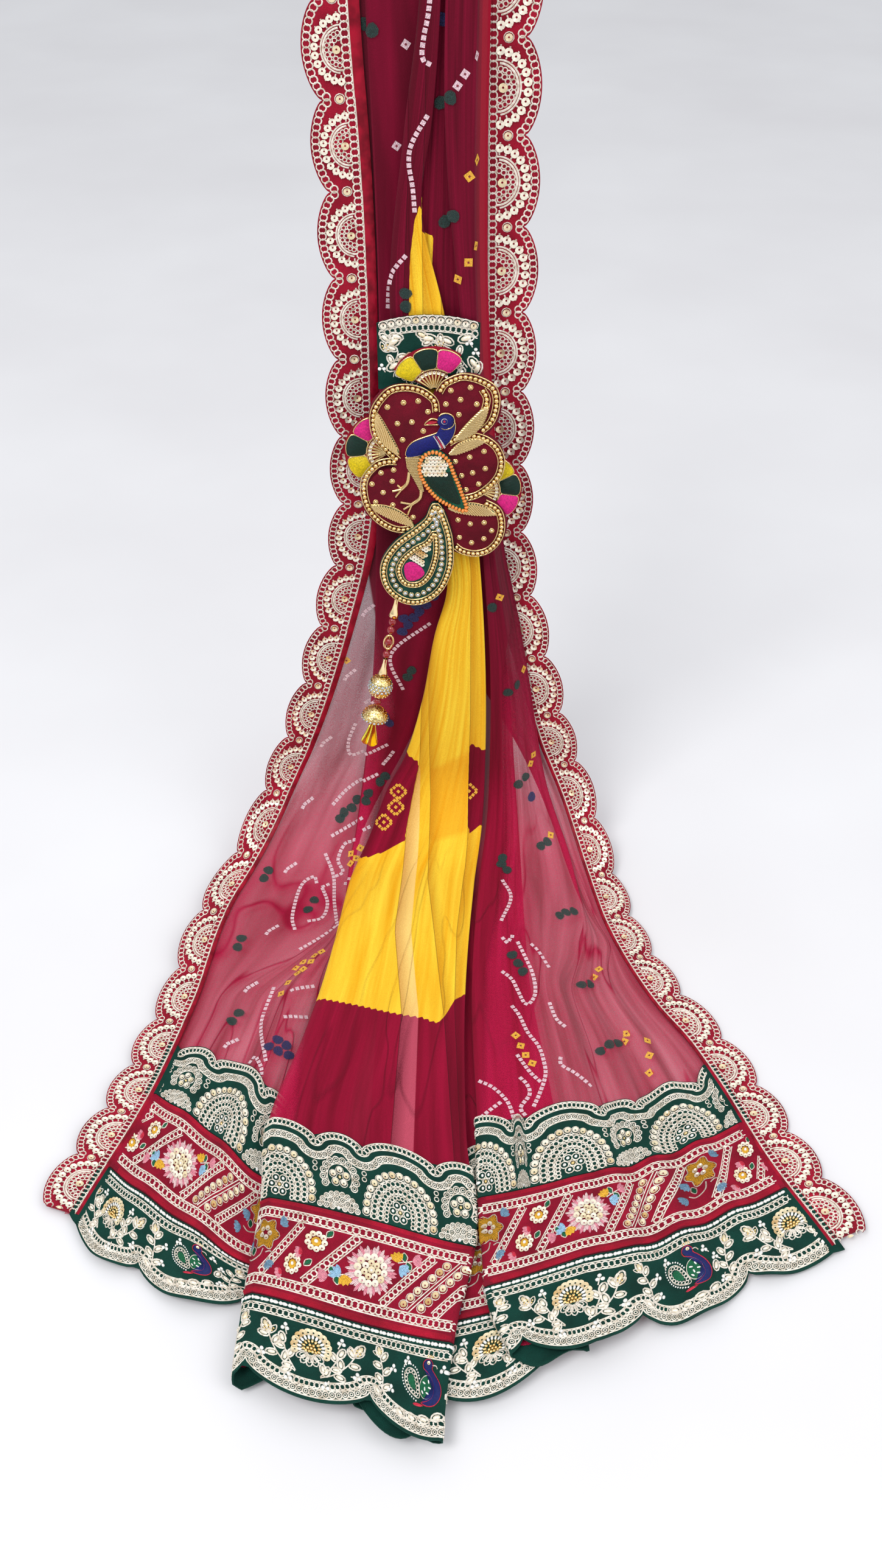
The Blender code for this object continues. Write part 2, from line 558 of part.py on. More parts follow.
# The latkan hangs from the paisley along a slanting line: (across, run, lift) of its ends. Its turned
# pieces are (distance, radius) pairs, and each piece starts at its distance down the line
LATKAN_LINE = [(-2.98, 42.33, 34.5), (-5.2, 54.9, 34.5)]
CONE = [(0, 0), (0.0, 0.14), (0.6, 0.17), (1.35, 0.33), (1.45, 0)]
SEED = [(0, 0), (0.08, 0.16), (0.3, 0.25), (0.52, 0.16), (0.6, 0)]
JEWEL = [(0, 0), (0.17, 0.48), (0.5, 0.74), (0.875, 0.8), (1.25, 0.74), (1.58, 0.48), (1.75, 0)]
CAP = [(0, 0), (0.03, 0.2), (0.5, 0.72), (1.22, 0.9), (1.3, 0)]
LATKAN = [
    ("cone_1", 0.0, CONE, "gold"), ("bead_1", 1.53, SEED, "red_glass"), ("bead_2", 2.21, SEED, "red_glass"),
    ("bead_in_ring", 3.24, SEED, "red_glass"), ("bead_3", 4.28, SEED, "red_glass"), ("cone_2", 4.96, CONE, "gold"),
    ("jewel", 6.49, JEWEL, "jewel"), ("bead_4", 8.3, SEED, "red_glass"), ("cap", 8.95, CAP, "gold"),
]
RING_START, RING_END = 2.89, 4.2
RING_SIDE = 3.8
DROP_START, DROP_END = 10.3, 12.76
DROP_LEAN = 0.3


def latkan_place(distance):
    start, end = np.array(LATKAN_LINE[0]), np.array(LATKAN_LINE[1])
    length = np.linalg.norm((end - start)[:2])
    return start + (end - start) * distance / length


def latkan(looks):
    for name, distance, profile, look in LATKAN:
        turned("latkan_" + name, (latkan_place(distance), latkan_place(distance + 1)), profile, 10, looks[look])
    flat_ring("latkan_ring", latkan_place(RING_START), latkan_place(RING_END), looks["gold"])
    top, tip = latkan_place(DROP_START), latkan_place(DROP_END)
    for number, side, lift in ((1, -1, -1.2), (2, 1, 0.2)):
        end = (tip[0] + side * DROP_LEAN, tip[1])
        plate(f"latkan_drop_{number}", leaf_outline(top[:2], end, 0.75), top[2] + lift, 1.0, 0.3, looks["gold"])


def flat_ring(name, top, end, look):
    """An oval ring of round wire between two places on the pendant's line."""
    start, stop = np.array(flat_point(*top)), np.array(flat_point(*end))
    middle, half = (start + stop) / 2, (stop - start) / 2
    wire = 0.9 * MM
    length = np.linalg.norm(half)
    along = half / length
    side = np.cross(along, (0, 1, 0))
    steps, sides = 20, 5
    points = []
    for k in range(steps):
        angle = 2 * math.pi * k / steps
        out = along * math.cos(angle) + side * math.sin(angle)
        core = middle + along * math.cos(angle) * (length - wire) + side * math.sin(angle) * RING_SIDE * MM
        for j in range(sides):
            turn = 2 * math.pi * j / sides
            points.append(core + out * math.cos(turn) * wire + np.array((0, 1, 0)) * math.sin(turn) * wire)
    faces = []
    for k in range(steps):
        for j in range(sides):
            a, b = k * sides + j, k * sides + (j + 1) % sides
            c, d = (k + 1) % steps * sides + j, (k + 1) % steps * sides + (j + 1) % sides
            faces.append((a, b, d, c))
    return add_mesh(name, points, faces, look)


def main():
    clear_scene()
    looks = {
        "georgette": material("georgette", (0.30, 0.012, 0.03), 0.8),
        "red_velvet": material("red_velvet", (0.42, 0.01, 0.03), 0.7),
        "green_velvet": material("green_velvet", (0.01, 0.07, 0.03), 0.75),
        "maroon_silk": material("maroon_silk", (0.20, 0.01, 0.03), 0.55),
        "maroon_velvet": material("maroon_velvet", (0.12, 0.005, 0.02), 0.8),
        "silk": material("silk", (0.75, 0.45, 0.03), 0.4),
        "gold_thread": material("gold_thread", (0.72, 0.48, 0.16), 0.4, 0.6),
        "peacock_blue": material("peacock_blue", (0.02, 0.16, 0.35), 0.5),
        "gold": material("gold", (0.83, 0.60, 0.25), 0.3, 1.0),
        "red_glass": material("red_glass", (0.55, 0.01, 0.02), 0.15),
        "jewel": material("jewel", (0.02, 0.2, 0.12), 0.2),
    }
    rows = ground_rows()
    grid = cloth_grid(rows)
    sheet("ground_cloth", grid, CLOTH, looks["georgette"])
    lace("lace_left", -1, LEFT_SEAM, LEFT_SCALLOPS, 98.3, (NECK_GAPS[0] + NECK_GAPS[1]) * MM, looks["red_velvet"])
    lace("lace_right", 1, RIGHT_SEAM, RIGHT_SCALLOPS, 100.4, 0, looks["red_velvet"])
    border_bands((rows, grid, normals(grid)), looks["green_velvet"], looks["maroon_silk"])
    strap(looks["green_velvet"])
    brooch(looks)
    latkan(looks)


main()
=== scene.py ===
"""The looks of the odhni: sheer printed georgette, embroidered velvet laces and border, brooch and pendant.

Metres, +Z up, the top edge's centre at the origin. Every place on the cloth is given on the cloth itself:
`across` it, and `run` down it from the top edge. Tables are in centimetres, as in the frame's own solids.
"""
import math

import bpy
import numpy as np
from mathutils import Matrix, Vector


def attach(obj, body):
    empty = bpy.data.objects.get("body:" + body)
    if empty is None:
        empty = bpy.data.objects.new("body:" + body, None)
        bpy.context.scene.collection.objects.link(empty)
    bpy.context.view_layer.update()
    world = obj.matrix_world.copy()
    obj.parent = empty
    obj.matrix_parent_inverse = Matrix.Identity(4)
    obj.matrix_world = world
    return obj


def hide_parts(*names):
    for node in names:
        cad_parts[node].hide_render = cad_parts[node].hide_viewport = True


CM = 0.01
MM = 0.001

# The camera, as the photograph was taken: its place, how far it looks down, and its lens in mm
CAMERA_AT = (0.012, -0.90, 0.14)
CAMERA_DOWN = math.radians(40)
CAMERA_LENS = 35
SENSOR_LONG_SIDE = 36

# The path of the cloth: down, around a bend and out over the floor
DROP = 66 * CM
BEND = 8 * CM
BACK = 1 * MM
WALL_RUN = DROP - BACK - BEND
FLOOR_RUN = WALL_RUN + BEND * math.pi / 2
CENTRE = -1.2 * CM

# Thicknesses, and the gap between pieces that lie on each other
CLOTH = 1.0 * MM
BAND = 1.0 * MM
GAP = 0.3 * MM
BAND_BACK = CLOTH / 2 + GAP
BAND_FACE = BAND_BACK + BAND
EDGE = 1 * MM

# Heights between the nine layers of the bundle, in millimetres, at the neck and on the floor
NECK_GAPS = (3.0, 3.0, 3.0, 3.0, 2.4, 2.4, 2.4, 2.4)
FLOOR_GAPS = (0, 0, 0, 0, 4.6, 2.2, 4.6, 2.2)
# The runs in cm between which the hidden pleats unroll, their columns spread evenly and the bundle thins out,
# and what is left of a pleat's turns and of its strip when it has unrolled
UNROLLING = (66, 76)
OPENING = (74, 81)
THINNING = (74, 82)
LEAST_SWEEP = math.radians(25)
LEAST_STRIP = 1.5 * MM

# How far the cloth runs on under a lace, how far inside the seam it lies flat, how far the right part reaches
# before it drops off the bundle's side, and over what width it drops
UNDER_LACE = 1.0 * CM
SEAM_TUCK = 0.15 * CM
RIGHT_REACH = 0.3 * CM
RIGHT_DROP = 4 * CM

# Fold lines as (run, across), from the left lace to the right one
LEFT_SEAM = [(0, -4.5), (8, -4.3), (14, -4.0), (28, -3.9), (39, -4.3), (46.1, -6.0), (54.6, -8.6),
             (62.9, -11.8), (71, -15.0), (81.3, -17.0), (89.7, -19.0), (97.1, -21.6), (101, -22.9)]
RIGHT_SEAM = [(0, 2.1), (23, 2.5), (33, 2.7), (40, 3.1), (47.3, 4.6), (51.3, 5.7), (57.3, 7.4),
              (63, 9.5), (68.4, 11.0), (73.5, 12.0), (77.4, 13.2), (81.4, 14.9), (84.3, 16.6),
              (87.7, 18.1), (94.5, 20.6), (100.3, 23.3), (103, 24.4)]
FOLDS = {
    "left_seam": LEFT_SEAM,
    "hidden_left": [(0, 1.0), (25, 1.2), (40, 1.6), (50, 0.0), (58, -3.0), (66, -6.3), (73, -7.1),
                    (80, -7.8)],
    "shown_left": [(0, -4.2), (25, -3.8), (40, -4.4), (47.4, -4.7), (58.2, -5.7), (64.9, -6.5), (80, -8)],
    "under_middle": [(0, 1.3), (23, 1.5), (33, 2.2), (40, 2.8), (50, 2.0), (60, -0.5), (70, -2.5),
                     (80, -4.2), (90, -6.0), (108, -6.6), (114, -6.7)],
    "middle_left": [(0, -1.0), (5.9, -1.2), (12.6, -2.1), (23.1, -3.1), (33, -1.6), (43.1, 0.3),
                    (45.9, -0.4), (52, -1.4), (56.8, -2.6), (60.8, -4.1), (65.4, -5.4), (68.8, -6.4),
                    (76.6, -7.6), (85.3, -9.4), (91.8, -11.0), (97.9, -10.8), (104.1, -11.2), (113, -11.5)],
    "middle_right": [(0, 0.15), (5.9, 0.0), (12.1, -0.5), (16.2, -1.1), (22.9, 0.2), (33, 1.8),
                     (40.2, 2.6), (50.1, 3.2), (56.5, 3.3), (62.8, 3.2), (70.5, 2.5), (80.9, 1.7),
                     (92.6, 1.6), (101, 1.9), (105.9, 0.8), (111, 0.1), (114, -0.1)],
    "far_under": [(0, -0.4), (12.6, -1.5), (16.2, -1.75), (23.1, -2.3), (33, -0.9), (43.1, 1.0),
                  (52, -0.6), (60.8, -2.6), (70, -4.0), (80, -4.3), (90, -4.5), (114, -5.0)],
    "under_right": [(0, 1.6), (23, 1.8), (33, 2.6), (40, 3.3), (45, 4.1), (51, 4.9), (57, 5.4),
                    (65.6, 5.9), (80, 6.2), (90, 7.2), (108, 8.4)],
    "right_left": [(0, 0.4), (12, 0.2), (15.7, 0.4), (20.8, 0.9), (33, 2.1), (40, 2.8), (50, 3.5),
                   (56.5, 3.6), (62.8, 3.5), (70.5, 2.8), (80.9, 2.1), (92.6, 2.3), (100.9, 2.5),
                   (105.2, 2.9), (108.5, 4.2), (112, 5.0)],
    "shown_right": [(0, 2.7), (23, 2.9), (33, 3.6), (40.1, 4.3), (45.4, 5.4), (51.1, 6.4), (54.9, 7.0),
                    (61, 8.1), (66.4, 9.7), (71.7, 10.7), (78.8, 11.9)],
    "hidden_right": [(0, -3.4), (25, -3.2), (40, -2.0), (50, 2.0), (58, 6.0), (66.4, 9.2), (71.7, 10.3),
                     (78.8, 11.5)],
    "right_seam": RIGHT_SEAM,
}
# The bundle's folds in turn: name, side it turns to, layers before and after it, columns on the way, station
BUNDLE = [
    ("middle_left", -1, 5, 8, 2, 2),
    ("middle_right", 1, 8, 7, 8, 3),
    ("far_under", -1, 7, 6, 2, 4),
    ("under_right", 1, 6, 7, 5, 5),
    ("right_left", -1, 7, 8, 2, 6),
]

# Lines across the border as (station, run). A station counts the stretches between folds, 0 to 7:
# left part, return, middle, return, under part, return, right part
BORDER_TOP = [(0, 85.4), (0.22, 86.5), (0.49, 88.4), (0.7, 90.4), (1, 91.6), (2, 92.9), (2.24, 93.7),
              (2.49, 94.6), (2.84, 95.9), (3, 96.2), (4, 95.8), (5, 93.2), (6, 92.8), (6.19, 92.2),
              (6.47, 90.9), (6.84, 89.0), (7, 87.4)]
UPPER_SEAM = [(0, 89.0), (0.22, 90.8), (0.45, 92.9), (0.58, 94.6), (1, 96.4), (2, 97.9), (2.5, 99.5),
              (3, 101.2), (4, 101.0), (5, 98.4), (6, 97.8), (6.16, 97.1), (6.51, 94.8), (6.74, 93.3),
              (7, 91.2)]
LOWER_SEAM = [(0, 94.8), (0.19, 96.7), (0.42, 98.8), (0.6, 100.8), (1, 102.8), (2, 104.3), (2.6, 106.4),
              (3, 107.3), (4, 107.0), (4.5, 105.4), (5, 104.0), (6, 103.8), (6.2, 102.5), (6.36, 101.3),
              (6.7, 98.6), (7, 96.2)]
HEM = [(0, 98.2), (0.34, 102.0), (0.72, 103.8), (1, 105.4), (2, 108.4), (2.65, 110.5), (3, 111.8),
       (4, 110.0), (4.5, 109.2), (5, 106.6), (6, 107.2), (6.37, 105.5), (6.72, 102.3), (7, 99.6)]

# Raised folds of the single layer on the floor: station, height in mm, half width in stations, and the
# runs between which it rises
RIDGES = [
    (0.52, 8, 0.11, (74, 81)),
    (0.22, 5, 0.09, (75, 81)),
    (6.58, 6, 0.06, (73, 81)),
    (6.42, 5, 0.06, (75, 81)),
    (6.77, 5, 0.06, (76, 81)),
]

# Notches between the scallops, in cm along the border's upper seam; at the top wide and narrow ones in turn
TOP_NOTCHES = [-4.8, 0.2, 3.3, 8.3, 11.2, 16.2, 19.0, 23.6, 26.6, 31.2, 34.0, 38.8, 41.6, 46.4, 49.2, 54.0,
               57.6, 61.4, 62.3, 67.9, 70.9, 76.5, 79.5]
HEM_NOTCHES = [-0.6, 4.1, 10.6, 15.8, 20.9, 28.9, 35.2, 40.0, 44.6, 51.4, 60.2, 67.5, 73.3, 80.2]
FULL_SCALLOP = 5 * CM
TOP_DEPTH = 1.0 * CM
HEM_DEPTH = 1.3 * CM

# Width, reach and spacing of the laces' scallops
LACE_WIDTH = [(0, 3.3), (40, 3.2), (54, 2.85), (66, 2.55), (80, 2.7), (90, 3.0), (112, 3.0)]
LACE_NOTCH = 0.72
LEFT_SCALLOPS = [(0, -2.2), (11.1, 0), (36.7, 5), (61.9, 10), (83.1, 14), (98.3, 18)]
RIGHT_SCALLOPS = [(0, -1.6), (8.2, 0), (34.1, 5), (59.6, 10), (77.2, 14), (100.4, 20)]

# The finest steps of the cloth that shows
COLUMN_STEP = 4 * MM
ROW_STEP = 6 * MM
EVEN_END = 81 * CM
HEM_ROWS = 48


def follow(table, where):
    """Smooth value of a centimetre table at each place, both in metres."""
    knots = np.array(table, float)
    x, y = knots[:, 0], knots[:, 1]
    slope = np.gradient(y, x)
    u = np.clip(np.asarray(where, float) / CM, x[0], x[-1])
    i = np.clip(np.searchsorted(x, u) - 1, 0, len(x) - 2)
    width = x[i + 1] - x[i]
    t = (u - x[i]) / width
    start = (2 * t + 1) * (t - 1) ** 2 * y[i] + t * (t - 1) ** 2 * width * slope[i]
    end = t * t * (3 - 2 * t) * y[i + 1] + t * t * (t - 1) * width * slope[i + 1]
    return (start + end) * CM


def ease(value, low, high):
    t = np.clip((value - low) / (high - low), 0, 1)
    return t * t * (3 - 2 * t)


def on_path(across, run, lift):
    """World points: down the wall, around the bend and out over the floor, lifted off them."""
    turn = np.clip((run - WALL_RUN) / BEND, 0, math.pi / 2)
    out = np.clip(run - FLOOR_RUN, 0, None)
    forward = BACK + BEND * (1 - np.cos(turn)) + out + lift * np.cos(turn)
    height = -np.minimum(run, WALL_RUN) - BEND * np.sin(turn) + lift * np.sin(turn)
    return np.stack(np.broadcast_arrays(across - CENTRE, -forward, height), -1)


def relief(across, run):
    """Soft waves that all layers share."""
    wave = follow([(0, 9), (60, 10), (80, 16), (112, 16)], run)
    return MM * (1 + np.sin(2 * math.pi * across / wave + run / (25 * CM)))


def ridge(station, run):
    """The raised folds of the single layer on the floor."""
    lift = 0
    for place, height, half_width, rise in RIDGES:
        off = (station - place) / half_width
        lift = lift + height * MM * ease(run, rise[0] * CM, rise[1] * CM) * np.exp(-off * off)
    return lift


def section(run):
    """The cloth's back-and-forth section at each run: stations, and across and height of its columns."""
    run = np.atleast_1d(np.asarray(run, float))
    opened = ease(run, OPENING[0] * CM, OPENING[1] * CM)
    thinned = ease(run, THINNING[0] * CM, THINNING[1] * CM)
    gaps = np.outer(np.array(NECK_GAPS), 1 - thinned) + np.outer(np.array(FLOOR_GAPS), thinned)
    level = np.vstack([np.zeros_like(run), np.cumsum(gaps, axis=0)]) * MM
    fold = {name: follow(table, run) for name, table in FOLDS.items()}
    columns, stations = [], []

    def add(across, height, station):
        columns.append((across, height))
        stations.append(station)

    def straight(end, height, steps, stations_end):
        start, low = columns[-1]
        first = stations[-1]
        for k in range(1, steps + 1):
            t = k / steps
            add(start + (end - start) * t, low + (height - low) * t, first + (stations_end - first) * t)

    def turn(name, side, low, high):
        radius = np.abs(level[high] - level[low]) / 2
        middle = (level[high] + level[low]) / 2
        for angle in (-30, 30, 90):
            bulge = radius * (math.cos(math.radians(angle)) - 1)
            rise = (level[high] - level[low]) / 2 * math.sin(math.radians(angle))
            add(fold[name] + side * bulge, middle + rise, stations[-1])

    def near(name, side, low, high):
        return fold[name] - side * np.abs(level[high] - level[low]) / 2

    def hidden_pleat(right, left, low, high, steps, station):
        """A pleat that unrolls further down: two arcs and the strip between them, from low to high."""
        sweep = math.pi - (math.pi - LEAST_SWEEP) * ease(run, UNROLLING[0] * CM, UNROLLING[1] * CM)
        rise = level[high] - level[low]
        strip = np.maximum(fold[right] - fold[left] - np.abs(rise) / 2, LEAST_STRIP)
        up = np.sign(rise) * strip * np.sin(sweep)
        radius = (np.abs(rise) - np.abs(up)) / (2 * (1 - np.cos(sweep)))
        half = radius * np.sin(sweep) + strip * np.cos(sweep) / 2
        start = (fold[right] + fold[left]) / 2 - half
        straight(start, level[low], steps, station)
        sign = np.sign(rise)
        for part in (1 / 3, 2 / 3, 1):
            angle = sweep * part
            add(start + radius * np.sin(angle), level[low] + sign * radius * (1 - np.cos(angle)), station)
        mid = level[low] + rise / 2
        add(start + half, mid, station)
        for part in (1, 2 / 3, 1 / 3, 0):
            angle = sweep * part
            end_height = level[high] - sign * radius * (1 - np.cos(angle))
            add(start + 2 * half - radius * np.sin(angle), end_height, station)

    # left lace's seam, over to the hidden fold, back to the shown one, and under the middle
    add(fold["left_seam"] - UNDER_LACE, level[2], 0)
    straight(fold["left_seam"] + SEAM_TUCK, level[2], 1, 0)
    hidden_pleat("hidden_left", "shown_left", 2, 4, 3, 0.5)
    straight(near("under_middle", 1, 4, 5), level[4], 4, 1)
    left_end = len(columns) - 1
    turn("under_middle", 1, 4, 5)
    for name, side, low, high, steps, station in BUNDLE:
        straight(near(name, side, low, high), level[low], steps, station)
        turn(name, side, low, high)
    # the right part drops off the bundle's side to its shown fold, goes back under and out to the lace
    straight(fold["under_right"] + RIGHT_REACH, level[8], 3, 6.27)
    right_start = len(columns) - 1
    hidden_pleat("shown_right", "hidden_right", 2, 0, 4, 6.6)
    straight(fold["right_seam"] - SEAM_TUCK, level[0], 4, 7)
    straight(fold["right_seam"] + UNDER_LACE, level[0], 1, 7)

    across, height = np.array(columns).transpose(1, 0, 2)
    station = np.array(stations)
    open_evenly(across, station, 1, left_end, opened)
    open_evenly(across, station, right_start, len(columns) - 2, opened)
    drop = 1 - ease(across[right_start:] - across[right_start], 0, RIGHT_DROP)
    height[right_start:] += (level[8] * drop - height[right_start:]) * opened
    return station, across, height


def open_evenly(across, station, first, last, opened):
    """Where a hidden pleat has opened, its columns lie evenly between the first and the last."""
    share = np.linspace(0, 1, last - first + 1)
    even = across[first] + np.outer(share, across[last] - across[first])
    across[first:last + 1] += (even - across[first:last + 1]) * opened
    station[first:last + 1] = station[first] + share * (station[last] - station[first])


STATIONS = section(0)[0]
LAST_COLUMN = len(STATIONS) - 1
WHOLE_COLUMNS = np.arange(LAST_COLUMN + 1)


def cloth_at(column, run):
    """World points of the cloth's middle surface at each pair of column and run."""
    column, run = np.broadcast_arrays(np.asarray(column, float), np.asarray(run, float))
    shape = column.shape
    column, run = column.ravel(), run.ravel()
    _, across, height = section(run)
    low = np.clip(np.floor(column).astype(int), 0, LAST_COLUMN - 1)
    share = column - low
    pick = np.arange(len(run))
    across = across[low, pick] * (1 - share) + across[low + 1, pick] * share
    height = height[low, pick] * (1 - share) + height[low + 1, pick] * share
    station = np.interp(column, WHOLE_COLUMNS, STATIONS)
    return on_path(across, run, height + relief(across, run) + ridge(station, run)).reshape(shape + (3,))


def fine_columns():
    """Fractions of columns, close enough together everywhere for the cloth that shows."""
    _, across, height = section(np.array([20, 50, 80, 108]) * CM)
    widest = np.hypot(np.diff(across, axis=0), np.diff(height, axis=0)).max(axis=1)
    columns = []
    for k, width in enumerate(widest):
        parts = math.ceil(width / COLUMN_STEP)
        columns += [k + j / parts for j in range(parts)]
    return np.array(columns + [LAST_COLUMN])


COLUMNS = fine_columns()
FINE_STATIONS = np.interp(COLUMNS, WHOLE_COLUMNS, STATIONS)


def border_run(table, station):
    return follow(table, np.asarray(station) * CM)


def scallop(notches, distance, depth):
    """Reach of the scallops between notches at a distance along the border."""
    edges = np.array(notches) * CM
    i = np.clip(np.searchsorted(edges, distance) - 1, 0, len(edges) - 2)
    width = edges[i + 1] - edges[i]
    share = np.clip((distance - edges[i]) / width, 0, 1)
    return depth * np.sqrt(np.minimum(width / FULL_SCALLOP, 1)) * np.sin(math.pi * share) ** 0.6


def border_distances():
    """Distance along the border's upper seam from the left lace, at each whole column."""
    seam = cloth_at(WHOLE_COLUMNS, border_run(UPPER_SEAM, STATIONS))
    steps = np.linalg.norm(np.diff(seam, axis=0), axis=1)
    return np.concatenate([[0], np.cumsum(steps)]) - steps[0]


DISTANCES = border_distances()
FINE_DISTANCES = np.interp(COLUMNS, WHOLE_COLUMNS, DISTANCES)


# Meshes

def belts(count, rings, closed=True):
    """Corners of the faces between one ring or row of points and the next, each of as many points."""
    a = np.arange(count if closed else count - 1)
    b = (a + 1) % count
    return np.concatenate([np.stack([a, b, b + count, a + count], 1) + k * count for k in range(rings - 1)])


def cone(count, first, tip):
    """Corners of the triangles from a ring of points to its tip."""
    a = np.arange(count)
    return np.stack([first + a, first + (a + 1) % count, np.full(count, tip)], 1)


def turns(count):
    """Even angles over a whole turn."""
    return np.arange(count) * 2 * math.pi / count


def around(x, y, radius, angle):
    """The place at a distance and an angle from another."""
    return x + radius * math.cos(angle), y + radius * math.sin(angle)


def add_object(name, points, quads=(), tris=(), look=None):
    """A mesh object from arrays of points and of corners."""
    quads = np.asarray(quads, np.int32).reshape(-1, 4)
    tris = np.asarray(tris, np.int32).reshape(-1, 3)
    mesh = bpy.data.meshes.new(name)
    mesh.vertices.add(len(points))
    mesh.vertices.foreach_set("co", np.asarray(points, np.float32).ravel())
    mesh.loops.add(quads.size + tris.size)
    mesh.loops.foreach_set("vertex_index", np.concatenate([quads.ravel(), tris.ravel()]))
    mesh.polygons.add(len(quads) + len(tris))
    starts = np.concatenate([np.arange(len(quads)) * 4, quads.size + np.arange(len(tris)) * 3])
    mesh.polygons.foreach_set("loop_start", starts.astype(np.int32))
    mesh.update(calc_edges=True)
    mesh.validate()
    mesh.shade_smooth()
    if look:
        mesh.materials.append(look)
    made = bpy.data.objects.new(name, mesh)
    bpy.context.collection.objects.link(made)
    return made


def grid_quads(rows, columns, first=0, flip=False):
    r, c = np.meshgrid(np.arange(rows - 1), np.arange(columns - 1), indexing="ij")
    a = (first + r * columns + c).ravel()
    quads = np.stack([a, a + columns, a + columns + 1, a + 1], 1)
    return quads[:, ::-1] if flip else quads


def set_field(made, name, values):
    """A named value at each point of a mesh, for its material."""
    field = made.data.attributes.new(name, "FLOAT", "POINT")
    field.data.foreach_set("value", np.asarray(values, np.float32).ravel())


def solid_sheet(name, front, reverse, look):
    """A closed sheet between two grids of points."""
    rows, columns = front.shape[:2]
    back = rows * columns
    rim = list(range(columns - 1))
    rim += [r * columns + columns - 1 for r in range(rows - 1)]
    rim += [(rows - 1) * columns + c for c in range(columns - 1, 0, -1)]
    rim += [r * columns for r in range(rows - 1, 0, -1)]
    edge = [(a, b, back + b, back + a) for a, b in zip(rim, rim[1:] + rim[:1])]
    quads = np.concatenate([grid_quads(rows, columns), grid_quads(rows, columns, back, flip=True),
                            np.array(edge)[:, ::-1]])
    points = np.concatenate([front.reshape(-1, 3), reverse.reshape(-1, 3)])
    return add_object(name, points, quads, look=look)


def grid_normals(grid):
    normal = np.cross(np.gradient(grid, axis=0), np.gradient(grid, axis=1))
    return normal / np.maximum(np.linalg.norm(normal, axis=-1, keepdims=True), 1e-12)


# Materials

class Look:
    """A material's nodes, added and linked with short calls."""

    def __init__(self, name, **values):
        self.material = bpy.data.materials.new(name)
        self.material.use_nodes = True
        self.tree = self.material.node_tree
        self.shader = self.tree.nodes["Principled BSDF"]
        self.paint(**values)

    def feed(self, socket, value):
        """Links a socket to an output, or sets its value."""
        if isinstance(value, bpy.types.NodeSocket):
            self.tree.links.new(value, socket)
        elif socket.type == "RGBA":
            socket.default_value = (*value, 1)
        else:
            socket.default_value = value

    def node(self, kind, properties=None, **values):
        made = self.tree.nodes.new("ShaderNode" + kind)
        for key, value in (properties or {}).items():
            setattr(made, key, value)
        for key, value in values.items():
            self.feed(made.inputs[key.replace("_", " ")], value)
        return made

    def paint(self, **values):
        """Sets the shader's own sockets, such as Base_Color."""
        for key, value in values.items():
            self.feed(self.shader.inputs[key.replace("_", " ")], value)

    def noise(self, scale, detail=2.0, stretch=(1.0, 1.0, 1.0)):
        where = self.node("TexCoord").outputs["Object"]
        if stretch != (1.0, 1.0, 1.0):
            where = self.node("Mapping", Vector=where, Scale=stretch).outputs["Vector"]
        return self.node("TexNoise", Vector=where, Scale=scale, Detail=detail).outputs["Fac"]

    def streaks(self, where, across, along, turned, detail, distortion):
        """Noise drawn out in streaks, by their number in a metre across and along them."""
        laid = self.node("Mapping", Vector=where, Scale=(across, along, 1), Rotation=(0, 0, turned))
        return self.node("TexNoise", Vector=laid.outputs["Vector"], Scale=1.0, Detail=detail,
                         Distortion=distortion).outputs["Fac"]

    def math(self, operation, a, b=0.0):
        made = self.node("Math", {"operation": operation})
        self.feed(made.inputs[0], a)
        self.feed(made.inputs[1], b)
        return made.outputs[0]

    def plus(self, a, b):
        return self.math("ADD", a, b)

    def less(self, a, b):
        return self.math("SUBTRACT", a, b)

    def times(self, a, b):
        return self.math("MULTIPLY", a, b)

    def most(self, a, b):
        return self.math("MAXIMUM", a, b)

    def span(self, value, low, high, start=0.0, end=1.0):
        """Start to end where a value goes from low to high, and level beyond them."""
        return self.node("MapRange", {"clamp": True}, Value=value, From_Min=low, From_Max=high, To_Min=start,
                         To_Max=end).outputs["Result"]

    def mix(self, share, a, b):
        made = self.node("Mix", {"data_type": "RGBA"})
        for place, value in ((0, share), (6, a), (7, b)):
            self.feed(made.inputs[place], value)
        return made.outputs[2]

    def field(self, name):
        return self.node("Attribute", {"attribute_name": name}).outputs["Fac"]

    def bump(self, height, distance, strength=1.0):
        made = self.node("Bump", Height=height, Distance=distance, Strength=strength)
        self.paint(Normal=made.outputs["Normal"])


def shaded(colour, factor):
    return tuple(min(part * factor, 1.0) for part in colour)


MAROON, LIGHT_MAROON = (0.27, 0.002, 0.022), (0.68, 0.010, 0.085)
DEEP_MAROON, THICK_MAROON = (0.17, 0.001, 0.014), (0.34, 0.003, 0.034)
GATHERED_MAROON, GATHERED_RED = (0.09, 0.0006, 0.010), (0.20, 0.002, 0.024)
YELLOW, LIGHT_YELLOW = (0.86, 0.42, 0.008), (1.0, 0.72, 0.05)
ORANGE, CREAM, PINK = (0.85, 0.36, 0.01), (0.97, 0.68, 0.25), (0.62, 0.10, 0.16)
# The dark maroon and dark yellow that the grain and the painted shadows darken the crepe towards, and the
# ribbon's red
SHADE_AND_GRAIN_MAROON, SHADE_AND_GRAIN_YELLOW, RIBBON_RED = (0.07, 0.0, 0.006), (0.45, 0.14, 0.0), (0.33, 0.003, 0.022)

# Length of one turn of the metal cord, and width of one thread of floss
CORD_TWIST = 0.55 * MM
FLOSS_THREAD = 0.7 * MM


